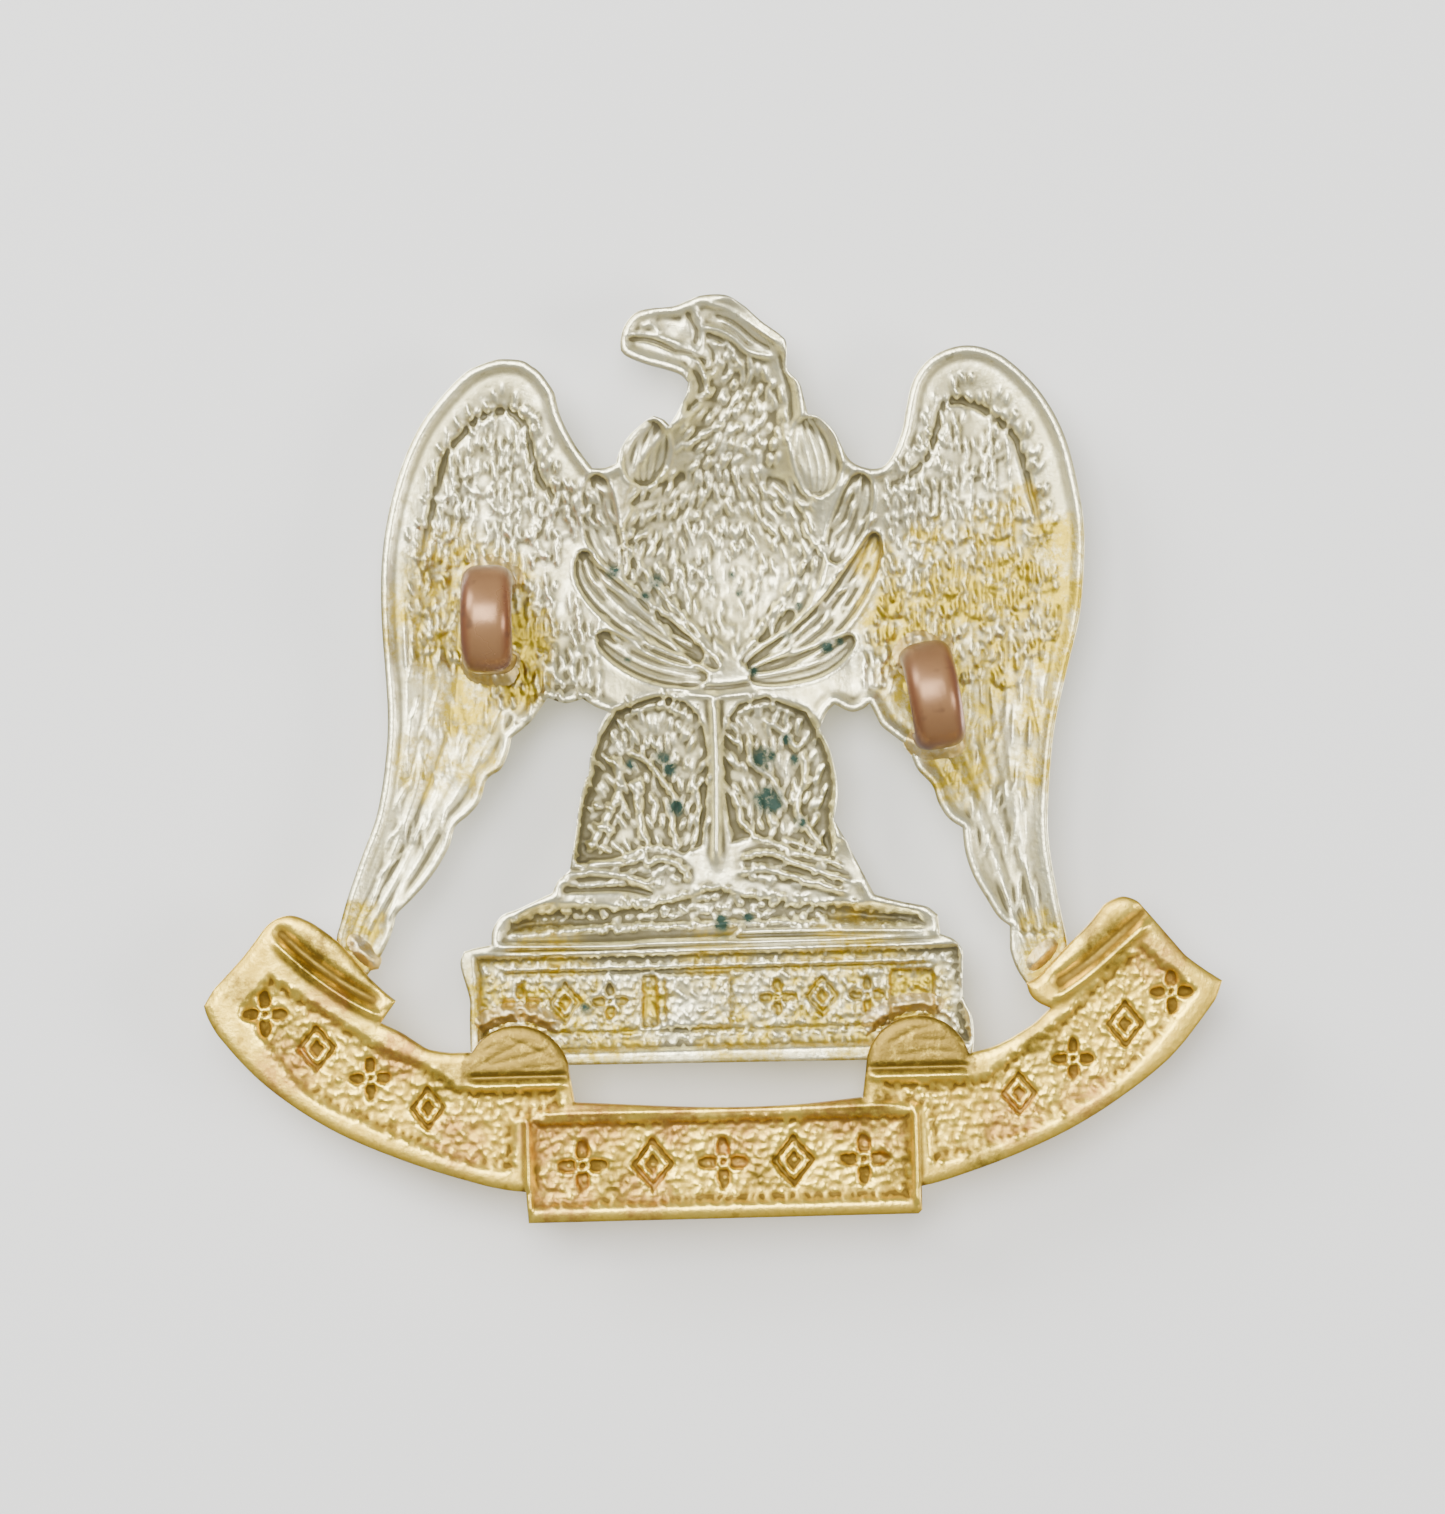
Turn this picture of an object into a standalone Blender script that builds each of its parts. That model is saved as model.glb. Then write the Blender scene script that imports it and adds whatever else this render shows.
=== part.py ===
"""Two-metal cap badge, modelled upright as it is worn: a die-struck white-metal eagle that stands on
a tablet, a die-struck gilding-metal scroll soldered behind it, and two copper loops soldered to the
backs of its wings, which pass through the cap.

+X is to the right when the back is looked at, +Y is towards the badge's face and +Z is up.
The origin is midway between the two loops, in the plane of the badge's rearmost flat faces.
Sizes are in millimetres and are turned into metres when the meshes are made.
"""

import math

import bmesh
import bpy
import numpy as np
from mathutils.geometry import delaunay_2d_cdt

METRES = 0.001

# Overall size. The outlines below are drawn 52 wide and 47.2 tall and are scaled to these.
BADGE_WIDTH = 52.0
BADGE_HEIGHT = 47.2
DRAWN_WIDTH = 52.0
DRAWN_HEIGHT = 47.2
LOOP_LINE = 28.8  # height of the origin above the drawing's base line

# Sheet metal and its relief. A hollow is how far the back of the stamping is sunk towards the face.
CLEARANCE = 0.3
EAGLE_SHEET = 0.8
SCROLL_SHEET = 0.7
RIM_WIDTH = 0.5
WING_HOLLOW = 1.1
CHEST_HOLLOW = 3.0
NECK_HOLLOW = 2.1
LEG_HOLLOW = 2.2
MOUND_HOLLOW = 1.6
TABLET_HOLLOW = 0.8
RIBBON_HOLLOW = 0.7
PANEL_HOLLOW = 1.1
EAGLE_BACK = SCROLL_SHEET + CLEARANCE

# Places on the drawing that a piece is fixed to.
LOOP_PLACES = {"left": ((-11.2, 31.0), 1.4), "right": ((11.2, 26.6), -8.6)}  # centre, lean in degrees
TAB_RADIUS = 2.7
TAB_CENTRES = {"left": (-10.4, 7.6), "right": (10.1, 7.6)}
TIP_SEAMS = {"left": ((-19.4, 14.8), (-17.9, 13.0)), "right": ((17.7, 13.5), (16.3, 12.1))}

# Copper loops: half-round strip bent to an arch whose eye runs across the badge.
LOOP_WIDTH = 2.6
LOOP_SPAN = 5.5
LOOP_REACH = 5.0  # how far the crown stands behind the badge's rearmost faces
STRIP_THICKNESS = 1.1
STRIP_BEVEL = 0.45

# Solder.
FILLET_REACH = 0.9
FILLET_HEIGHT = 0.6
SEAM_WIDTH = 0.6
SEAM_LENGTH = 1.8

# Mesh spacing.
GRID = 1.25
OUTLINE_STEP = 0.8

# Outlines, clockwise as the back is looked at. Each list is one smooth stretch, and two lists meet
# at a corner.
EAGLE_OUTLINE = [
    # beak, crown and nape
    [(-4.2, 44.7), (-4.2, 45.2), (-4.0, 45.9), (-3.4, 46.6), (-2.6, 46.8), (-1.4, 46.9), (0.0, 47.4),
     (1.2, 47.4), (2.1, 46.9), (3.1, 46.0), (4.0, 45.3), (4.3, 44.8), (4.3, 43.6), (4.9, 42.8), (5.3, 41.2)],
    # leaf beside the neck, then the shoulder
    [(5.3, 41.2), (5.9, 41.0), (6.6, 40.3), (7.3, 38.9), (7.8, 38.5), (8.6, 38.3), (9.2, 38.5)],
    # top and outer edge of one wing, down to its hidden tip
    [(9.2, 38.5), (9.7, 39.2), (10.1, 40.2), (10.4, 41.6), (10.8, 42.9), (11.8, 44.0), (13.4, 44.5),
     (15.2, 44.0), (17.1, 42.2), (18.4, 39.8), (19.1, 36.8), (19.3, 34.4), (19.0, 30.8), (18.3, 28.0),
     (17.5, 24.7), (17.1, 21.0), (17.1, 18.8), (17.5, 16.0), (17.9, 13.4), (17.2, 12.2), (15.9, 11.5)],
    # feather tips along its inner edge
    [(15.9, 11.5), (15.3, 12.5), (15.0, 13.4), (15.0, 14.7)],
    [(15.0, 14.7), (14.4, 15.2), (13.8, 16.2), (13.2, 17.3), (12.8, 18.6), (12.7, 19.8)],
    [(12.7, 19.8), (12.0, 20.3), (11.5, 21.1), (11.2, 22.0)],
    [(11.2, 22.0), (10.5, 22.8), (10.0, 24.0)],
    [(10.0, 24.0), (9.3, 24.6), (8.7, 25.1), (8.1, 26.3)],
    [(8.1, 26.3), (7.7, 26.0), (7.1, 25.9), (6.3, 26.3)],
    # leg, foot and mound
    [(6.3, 26.3), (5.9, 25.9), (5.5, 25.1)],
    [(5.5, 25.1), (6.0, 24.0), (6.3, 22.6), (6.3, 21.4), (6.1, 20.4)],
    [(6.1, 20.4), (6.6, 19.5), (7.5, 17.7), (8.1, 16.5)],
    [(8.1, 16.5), (9.5, 16.1), (10.8, 15.8), (11.3, 15.4), (11.4, 14.4)],
    # tablet
    [(11.4, 14.4), (12.1, 14.1), (12.5, 13.6), (12.5, 11.2)],
    [(12.5, 11.2), (12.9, 10.2), (13.0, 9.2), (12.9, 8.0)],
    [(12.9, 8.0), (-12.8, 8.2)],
    [(-12.8, 8.2), (-12.8, 10.3), (-12.8, 11.8), (-13.2, 13.4), (-13.0, 14.1), (-11.6, 14.4)],
    [(-11.6, 14.4), (-11.5, 15.2), (-11.0, 15.9), (-10.2, 16.2), (-8.4, 17.0)],
    # foot and leg
    [(-8.4, 17.0), (-8.1, 17.6), (-7.5, 18.1)],
    [(-7.5, 18.1), (-7.2, 19.7), (-6.9, 21.6), (-6.6, 22.7), (-6.1, 23.6), (-5.9, 25.1), (-5.3, 26.2)],
    [(-5.3, 26.2), (-6.0, 26.5), (-6.6, 26.9)],
    [(-6.6, 26.9), (-7.5, 26.7), (-8.4, 27.0)],
    # feather tips along the inner edge of the other wing, down to its hidden tip
    [(-8.4, 27.0), (-9.3, 25.8), (-10.3, 25.0)],
    [(-10.3, 25.0), (-10.5, 24.2), (-10.9, 23.4), (-11.6, 22.9)],
    [(-11.6, 22.9), (-12.0, 21.8), (-12.6, 21.1), (-13.3, 20.5)],
    [(-13.3, 20.5), (-13.6, 19.6), (-14.1, 18.7), (-15.0, 17.5), (-16.4, 16.1)],
    [(-16.4, 16.1), (-16.8, 14.9), (-17.4, 13.8), (-18.0, 13.0), (-19.0, 13.1), (-19.5, 14.0), (-19.5, 15.0)],
    # its outer edge and top
    [(-19.5, 15.0), (-18.9, 17.0), (-18.0, 19.4), (-17.3, 21.2), (-16.8, 23.8), (-16.6, 26.6),
     (-16.8, 31.6), (-16.6, 35.1), (-15.8, 38.4), (-14.5, 41.2), (-12.6, 43.4), (-11.5, 44.1),
     (-10.3, 44.4), (-9.3, 44.3), (-8.3, 43.6), (-7.7, 42.7), (-7.4, 41.5), (-6.7, 40.0), (-5.8, 38.7)],
    # shoulder, leaf beside the throat, throat and lower beak
    [(-5.8, 38.7), (-5.2, 38.7), (-4.6, 38.9)],
    [(-4.6, 38.9), (-4.4, 39.5), (-3.9, 40.3), (-3.1, 41.0), (-2.6, 41.3), (-2.1, 41.1), (-1.8, 40.8)],
    [(-1.8, 40.8), (-1.4, 41.4), (-0.9, 42.4), (-0.8, 43.0), (-1.2, 43.4), (-2.0, 43.7), (-3.0, 44.0),
     (-3.9, 44.4), (-4.2, 44.7)],
]

# The scroll's outline runs from one shoulder of a tab to the other, and the tabs' arcs join the two.
SCROLL_TOP = [[(-7.7, 7.6), (-7.5, 6.3)], [(-7.5, 6.3), (-1.0, 5.9), (3.5, 5.9), (7.2, 6.2)], [(7.2, 6.2), (7.4, 7.6)]]
SCROLL_SIDES = [
    # ribbon end on the right, its curl over the wing tip, and its lower edge
    [(12.7, 8.3), (13.9, 8.6), (15.0, 9.1), (16.0, 9.7), (16.9, 10.5)],
    [(16.9, 10.5), (16.3, 10.8), (15.9, 11.2), (15.7, 11.8)],
    [(15.7, 11.8), (16.3, 12.1), (17.7, 13.5), (19.0, 14.8), (19.9, 15.8), (20.7, 16.1), (21.4, 15.9),
     (22.3, 14.9), (23.9, 13.0), (24.8, 12.3), (25.7, 11.7)],
    [(25.7, 11.7), (25.4, 10.9), (24.7, 9.9), (23.0, 7.9), (20.7, 6.1), (17.9, 4.4), (14.7, 3.0), (11.4, 1.9),
     (10.1, 1.6)],
    # centre panel
    [(10.1, 1.6), (10.1, 0.4)],
    [(10.1, 0.4), (9.9, 0.2)],
    [(9.9, 0.2), (-10.0, 0.2)],
    [(-10.0, 0.2), (-10.1, 1.8)],
    # lower edge, ribbon end on the left and its curl
    [(-10.1, 1.8), (-11.9, 2.1), (-15.9, 3.4), (-19.9, 5.2), (-23.3, 7.6), (-25.7, 10.3), (-26.3, 11.7)],
    [(-26.3, 11.7), (-25.8, 12.5), (-24.2, 14.2), (-23.0, 15.7), (-22.4, 16.1), (-21.7, 16.2), (-20.9, 15.9),
     (-19.4, 14.8), (-17.9, 13.0), (-17.1, 12.2), (-16.5, 11.7)],
    [(-16.5, 11.7), (-17.3, 10.6)],
    [(-17.3, 10.6), (-16.3, 10.1), (-14.9, 9.2), (-13.9, 9.0), (-12.7, 9.0)],
]

# Raised and sunk forms, drawn in the same coordinates: centre, half width and half height.
CHEST = ((0.7, 34.2), (5.6, 7.4))
LEGS = [((-3.5, 22.4), (3.0, 4.2)), ((3.3, 22.0), (2.7, 4.0))]
NECK = ((2.0, 42.6), (2.6, 3.8))
HEAD = ((0.6, 45.2), (3.8, 1.7))
MOUND = ((-0.2, 15.7), (10.2, 1.3))
TABLET_PANEL = ((-12.0, 9.6), (11.7, 13.2))
SCROLL_PANEL = ((-9.3, 0.9), (9.3, 5.2))
CURL_FOLDS = {"left": ((-23.1, 14.6), (-17.3, 10.6)), "right": ((16.9, 10.5), (22.2, 14.6))}


def drawn(points):
    """Points of the drawing as real positions (x, z) from the badge's origin."""
    points = np.asarray(points, dtype=float)
    scale = (BADGE_WIDTH / DRAWN_WIDTH, BADGE_HEIGHT / DRAWN_HEIGHT)
    return (points - (0.0, LOOP_LINE)) * scale


def smooth_stretch(points, step):
    """A Catmull-Rom curve through the points, cut into pieces of about one step, without its last point."""
    points = drawn(points)
    padded = np.vstack([2 * points[0] - points[1], points, 2 * points[-1] - points[-2]])
    curve = []
    for before, start, end, after in zip(padded[:-3], padded[1:-2], padded[2:-1], padded[3:]):
        count = max(1, round(np.linalg.norm(end - start) / step))
        for t in np.arange(count) / count:
            curve.append(0.5 * (2 * start + (end - before) * t
                                + (2 * before - 5 * start + 4 * end - after) * t ** 2
                                + (3 * start - before - 3 * end + after) * t ** 3))
    return curve


def tab_arc(side, start, end, radius):
    """Arc of a tab's round head, from one angle to another in degrees, clockwise."""
    centre = drawn(TAB_CENTRES[side])
    count = max(3, round(math.radians(abs(start - end)) * radius / OUTLINE_STEP))
    angles = np.radians(np.linspace(start, end, count, endpoint=False))
    return [centre + radius * np.array([math.cos(a), math.sin(a)]) for a in angles]


def ellipse(form, count=22):
    """Closed ring of points round one of the oval forms."""
    centre, half = form
    angles = np.linspace(0, 2 * math.pi, count, endpoint=False)
    ring = np.column_stack([np.cos(angles), np.sin(angles)]) * half + centre
    return drawn(ring)


def box_ring(corners, inset=0.0):
    """Closed ring round a rectangular panel, with points along its long sides."""
    (x0, z0), (x1, z1) = drawn(corners) + [[inset, inset], [-inset, -inset]]
    across = np.arange(x0, x1, GRID * 1.3)
    bottom = [(x, z0) for x in across[:-1]] + [(x1, z0)]
    top = [(x, z1) for x, _ in reversed(bottom)]
    return np.array(bottom + top)


def distance_to_ring(points, ring):
    """Shortest distance from each point to a closed ring of straight pieces."""
    nearest = np.full(len(points), np.inf)
    for start, end in zip(ring, np.roll(ring, -1, axis=0)):
        run = end - start
        share = np.clip(((points - start) @ run) / (run @ run), 0, 1)
        nearest = np.minimum(nearest, np.linalg.norm(points - start - share[:, None] * run, axis=1))
    return nearest


def inside_ring(points, ring):
    """Whether each point lies inside a closed ring."""
    inside = np.zeros(len(points), dtype=bool)
    for (x0, z0), (x1, z1) in zip(ring, np.roll(ring, -1, axis=0)):
        if z0 == z1:
            continue
        crosses = (z0 > points[:, 1]) != (z1 > points[:, 1])
        inside ^= crosses & (points[:, 0] < (x1 - x0) * (points[:, 1] - z0) / (z1 - z0) + x0)
    return inside


def ease(value):
    """Smooth rise from 0 to 1."""
    value = np.clip(value, 0, 1)
    return value * value * (3 - 2 * value)


def dome(points, form, depth):
    """Depth of an oval hollow, zero outside it."""
    centre, half = drawn(form[0]), np.array(form[1]) * (BADGE_WIDTH / DRAWN_WIDTH, BADGE_HEIGHT / DRAWN_HEIGHT)
    reach = np.sum(((points - centre) / half) ** 2, axis=1)
    return depth * np.sqrt(np.clip(1 - reach, 0, 1))


def panel(points, corners, depth, ramp):
    """Depth of a rectangular hollow with sloped sides, zero outside it."""
    (x0, z0), (x1, z1) = drawn(corners)
    inset = np.minimum(np.minimum(points[:, 0] - x0, x1 - points[:, 0]),
                       np.minimum(points[:, 1] - z0, z1 - points[:, 1]))
    return depth * np.clip(inset / ramp, 0, 1)


def side_of_line(points, line):
    """Distance of each point above a line, negative below it."""
    start, end = drawn(line)
    run = (end - start) / np.linalg.norm(end - start)
    return (points - start) @ np.array([-run[1], run[0]])


EAGLE_RING = np.array([p for stretch in EAGLE_OUTLINE for p in smooth_stretch(stretch, OUTLINE_STEP)])


def scroll_ring():
    ring = []
    for stretch in SCROLL_SIDES:
        ring += smooth_stretch(stretch, OUTLINE_STEP)
    ring += tab_arc("left", 149, 0, TAB_RADIUS)
    for stretch in SCROLL_TOP:
        ring += smooth_stretch(stretch, OUTLINE_STEP)
    ring += tab_arc("right", 180, 15, TAB_RADIUS)
    return np.array(ring)


SCROLL_RING = scroll_ring()


def eagle_back(points):
    """Where the back of the eagle stamping lies along Y."""
    points = np.asarray(points)
    in_from_edge = distance_to_ring(points, EAGLE_RING) * inside_ring(points, EAGLE_RING)
    tablet_top = drawn((0, TABLET_PANEL[1][1]))[1] + RIM_WIDTH
    above_tablet = ease((points[:, 1] - tablet_top) / RIM_WIDTH)
    hollow = WING_HOLLOW * ease((in_from_edge - RIM_WIDTH) / 1.6) * above_tablet
    hollow = np.maximum(hollow, dome(points, CHEST, CHEST_HOLLOW))
    hollow = np.maximum(hollow, dome(points, NECK, NECK_HOLLOW))
    hollow = np.maximum(hollow, dome(points, HEAD, NECK_HOLLOW))
    hollow = np.maximum(hollow, dome(points, MOUND, MOUND_HOLLOW))
    for leg in LEGS:
        hollow = np.maximum(hollow, dome(points, leg, LEG_HOLLOW))
    return EAGLE_BACK + np.maximum(hollow, panel(points, TABLET_PANEL, TABLET_HOLLOW, RIM_WIDTH))


def scroll_back(points):
    """Where the back of the scroll stamping lies along Y. Its tabs and curls stay flat."""
    points = np.asarray(points)
    in_from_edge = distance_to_ring(points, SCROLL_RING) * inside_ring(points, SCROLL_RING)
    below_tabs = ease((drawn(TAB_CENTRES["left"])[1] - points[:, 1]) / RIM_WIDTH)
    beyond_tabs = ease((np.abs(points[:, 0]) - drawn((TAB_CENTRES["right"][0], 0))[0] - TAB_RADIUS) / RIM_WIDTH)
    below_folds = [ease(-side_of_line(points, fold) / RIM_WIDTH) for fold in CURL_FOLDS.values()]
    ribbon = RIBBON_HOLLOW * ease((in_from_edge - RIM_WIDTH) / RIM_WIDTH)
    ribbon = ribbon * np.maximum(below_tabs, beyond_tabs)
    near_left = points[:, 0] < 0
    ribbon = ribbon * np.where(near_left, below_folds[0], below_folds[1])
    return np.maximum(ribbon, panel(points, SCROLL_PANEL, PANEL_HOLLOW, RIM_WIDTH))


def triangulate(ring, creases):
    """Triangles that fill a closed ring, with edges along the creases and a hexagonal grid between."""
    lines = [ring] + creases
    low, high = ring.min(axis=0), ring.max(axis=0)
    rows = np.arange(low[1], high[1], GRID * math.sqrt(3) / 2)
    grid = [(x + (i % 2) * GRID / 2, z) for i, z in enumerate(rows) for x in np.arange(low[0], high[0], GRID)]
    grid = np.array(grid)
    keep = inside_ring(grid, ring)
    for line in lines:
        keep &= distance_to_ring(grid, line) > GRID * 0.5
    points, edges = [], []
    for line in lines:
        first = len(points)
        points += [tuple(p) for p in line]
        edges += [(first + i, first + (i + 1) % len(line)) for i in range(len(line))]
    points += [tuple(p) for p in grid[keep]]
    made = delaunay_2d_cdt(points, edges, [list(range(len(ring)))], 1, 1e-6)
    return np.array([tuple(v) for v in made[0]]), [list(face) for face in made[2]]


def paint(name, colour, roughness):
    """Principled material of a plain metal."""
    material = bpy.data.materials.new(name)
    material.use_nodes = True
    shader = material.node_tree.nodes["Principled BSDF"]
    shader.inputs["Base Color"].default_value = (*colour, 1.0)
    shader.inputs["Metallic"].default_value = 1.0
    shader.inputs["Roughness"].default_value = roughness
    return material


def add_object(name, mesh_data, material):
    """Object from a bmesh in millimetres, with its faces pointing out."""
    bmesh.ops.recalc_face_normals(mesh_data, faces=mesh_data.faces)
    bmesh.ops.scale(mesh_data, vec=(METRES, METRES, METRES), verts=mesh_data.verts)
    mesh = bpy.data.meshes.new(name)
    mesh_data.to_mesh(mesh)
    mesh_data.free()
    mesh.materials.append(material)
    mesh.shade_smooth()
    mesh.set_sharp_from_angle(angle=math.radians(40))
    made = bpy.data.objects.new(name, mesh)
    bpy.context.scene.collection.objects.link(made)
    return made


def add_plate(name, ring, back_of, front_of, material, creases=()):
    """Closed plate over a ring: a back and a front surface, joined round the edge."""
    points, faces = triangulate(ring, list(creases))
    plate = bmesh.new()
    backs = [plate.verts.new((x, y, z)) for (x, z), y in zip(points, back_of(points))]
    fronts = [plate.verts.new((x, y, z)) for (x, z), y in zip(points, front_of(points))]
    sides = set()
    for face in faces:
        plate.faces.new([backs[i] for i in face])
        plate.faces.new([fronts[i] for i in reversed(face)])
        sides ^= {tuple(sorted(pair)) for pair in zip(face, face[1:] + face[:1])}
    for a, b in sorted(sides):
        plate.faces.new((backs[a], backs[b], fronts[b]))
        plate.faces.new((backs[a], fronts[b], fronts[a]))
    return add_object(name, plate, material)


def loop_axes(side):
    """Centre of a loop, and the directions along and across its strip, as (x, z)."""
    place, lean = LOOP_PLACES[side]
    lean = math.radians(lean)
    return drawn(place), np.array([-math.sin(-lean), math.cos(lean)]), np.array([math.cos(lean), math.sin(-lean)])


def foot_level(centre, along, across, end):
    """Y at which a foot of a loop stops: clear of the wing under all of the foot."""
    under = []
    for reach in (LOOP_SPAN / 2, LOOP_SPAN / 2 - STRIP_THICKNESS):
        for sideways in (-LOOP_WIDTH / 2, 0.0, LOOP_WIDTH / 2):
            under.append(centre + end * reach * along + sideways * across)
    return float(eagle_back(np.array(under)).min()) - CLEARANCE


def add_loop(side, material):
    """Half-round strip swept along an arch, its flat side towards the eye."""
    centre, along, across = loop_axes(side)
    radius = (LOOP_SPAN - STRIP_THICKNESS) / 2
    spring_y = -LOOP_REACH + STRIP_THICKNESS / 2 + radius
    path = [(-radius, foot_level(centre, along, across, -1), (-1.0, 0.0))]
    for angle in np.radians(np.linspace(180, 0, 13)):
        outwards = (math.cos(angle), math.sin(angle))
        path.append((radius * outwards[0], spring_y - radius * outwards[1], outwards))
    path.append((radius, foot_level(centre, along, across, 1), (1.0, 0.0)))
    wide, thick = LOOP_WIDTH / 2, STRIP_THICKNESS / 2
    section = [(-wide, -thick), (wide, -thick), (wide, 0.0), (wide - STRIP_BEVEL, thick),
               (STRIP_BEVEL - wide, thick), (-wide, 0.0)]
    strip = bmesh.new()
    rings = []
    for u, y, outwards in path:
        ring = []
        for sideways, out in section:
            x, z = centre + (u + out * outwards[0]) * along + sideways * across
            ring.append(strip.verts.new((x, y - out * outwards[1], z)))
        rings.append(ring)
    for ring, following in zip(rings, rings[1:]):
        for i in range(len(section)):
            j = (i + 1) % len(section)
            strip.faces.new((ring[i], ring[j], following[j], following[i]))
    strip.faces.new(rings[0])
    strip.faces.new(list(reversed(rings[-1])))
    return add_object(f"loop_{side}", strip, material)


def add_fillet(name, ring, height, material):
    """Low mound of solder on the eagle's back, crowned in the middle."""
    ring = np.array(ring)

    def front_of(points):
        return eagle_back(points) - CLEARANCE

    def back_of(points):
        return front_of(points) - height * (0.5 + 0.5 * ease(distance_to_ring(points, ring) / 0.3))

    return add_plate(name, ring, back_of, front_of, material)


def foot_fillet_ring(side, end):
    """Half-moon beyond one foot of a loop. end is 1 for the upper foot and -1 for the lower one."""
    centre, along, across = loop_axes(side)
    base = centre + end * (LOOP_SPAN / 2 + CLEARANCE) * along
    angles = np.linspace(0, math.pi, 9)
    return [base + 0.45 * LOOP_WIDTH * math.cos(a) * across + end * FILLET_REACH * math.sin(a) * along
            for a in angles]


def tab_fillet_ring(side):
    """Crescent on the tablet round the head of one tab."""
    angles = {"left": (125, 40), "right": (140, 55)}[side]
    inner = tab_arc(side, *angles, TAB_RADIUS + CLEARANCE)
    outer = tab_arc(side, *angles, TAB_RADIUS + CLEARANCE + SEAM_WIDTH)
    return outer + inner[::-1]


def tip_fillet_ring(side):
    """Oval on the wing tip, along the edge of the scroll's curl."""
    start, end = drawn(TIP_SEAMS[side])
    run = (end - start) / np.linalg.norm(end - start)
    out = np.array([-run[1], run[0]])
    out = out if out[1] > 0 else -out
    middle = (start + end) / 2 + (CLEARANCE + SEAM_WIDTH / 2) * out
    angles = np.linspace(0, 2 * math.pi, 14, endpoint=False)
    return [middle + SEAM_LENGTH / 2 * math.cos(a) * run + SEAM_WIDTH / 2 * math.sin(a) * out for a in angles]


for old in list(bpy.data.objects):
    bpy.data.objects.remove(old)

white_metal = paint("white_metal", (0.72, 0.69, 0.60), 0.35)
gilding_metal = paint("gilding_metal", (0.72, 0.52, 0.24), 0.35)
copper = paint("copper", (0.45, 0.24, 0.15), 0.3)
solder = paint("solder", (0.62, 0.58, 0.48), 0.45)

add_plate(
    "eagle", EAGLE_RING, eagle_back, lambda points: eagle_back(points) + EAGLE_SHEET, white_metal,
    creases=[ellipse(CHEST), *(ellipse(leg, 16) for leg in LEGS), box_ring(TABLET_PANEL),
             box_ring(TABLET_PANEL, RIM_WIDTH)])
add_plate(
    "scroll", SCROLL_RING, scroll_back, lambda points: scroll_back(points) + SCROLL_SHEET, gilding_metal,
    creases=[box_ring(SCROLL_PANEL), box_ring(SCROLL_PANEL, RIM_WIDTH)])
for hand in ("left", "right"):
    add_loop(hand, copper)
    add_fillet(f"solder_loop_{hand}_upper", foot_fillet_ring(hand, 1), FILLET_HEIGHT, solder)
    add_fillet(f"solder_loop_{hand}_lower", foot_fillet_ring(hand, -1), FILLET_HEIGHT, solder)
    add_fillet(f"solder_tab_{hand}", tab_fillet_ring(hand), FILLET_HEIGHT, solder)
    add_fillet(f"solder_tip_{hand}", tip_fillet_ring(hand), FILLET_HEIGHT, solder)
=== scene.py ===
import math

import bmesh
import bpy
import numpy as np
from mathutils import Matrix, Vector
from mathutils.geometry import delaunay_2d_cdt
from mathutils.kdtree import KDTree


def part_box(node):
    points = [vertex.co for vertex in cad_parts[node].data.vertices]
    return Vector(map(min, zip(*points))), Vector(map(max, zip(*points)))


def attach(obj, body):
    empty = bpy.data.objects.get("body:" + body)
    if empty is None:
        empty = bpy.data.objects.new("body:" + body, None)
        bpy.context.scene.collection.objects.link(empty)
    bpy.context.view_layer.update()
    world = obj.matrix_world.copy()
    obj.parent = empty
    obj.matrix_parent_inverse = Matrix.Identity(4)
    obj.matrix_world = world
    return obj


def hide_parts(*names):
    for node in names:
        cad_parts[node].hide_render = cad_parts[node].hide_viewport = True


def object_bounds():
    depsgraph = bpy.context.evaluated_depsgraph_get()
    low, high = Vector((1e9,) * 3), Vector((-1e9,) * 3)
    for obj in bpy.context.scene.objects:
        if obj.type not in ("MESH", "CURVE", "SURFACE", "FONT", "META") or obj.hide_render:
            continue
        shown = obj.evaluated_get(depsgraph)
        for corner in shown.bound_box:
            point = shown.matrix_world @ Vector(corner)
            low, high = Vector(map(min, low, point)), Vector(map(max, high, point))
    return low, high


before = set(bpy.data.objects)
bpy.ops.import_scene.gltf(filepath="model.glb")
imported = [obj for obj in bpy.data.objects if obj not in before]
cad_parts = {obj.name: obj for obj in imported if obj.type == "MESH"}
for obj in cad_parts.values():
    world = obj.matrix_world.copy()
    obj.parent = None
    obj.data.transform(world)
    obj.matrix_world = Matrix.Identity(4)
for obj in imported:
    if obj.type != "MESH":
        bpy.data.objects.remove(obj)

cad_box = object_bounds()

# ---------------------------------------------------------------------------------------------
# Eagle. One sheet of white metal struck between two dies, so its feathers, leaves, feet and tablet
# are hollows on the back and stand out on the face. The edge is trimmed, then worn round.

# Places are (across, up) in millimetres, and up is counted from a base line just under the badge.
MM = 0.001
BASE_LINE = cad_box[0].z / MM - 0.2
EDGE_STEP = 0.08
EDGE_LEVEL = 0.02
CORNER_TURN = math.radians(38)


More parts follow.
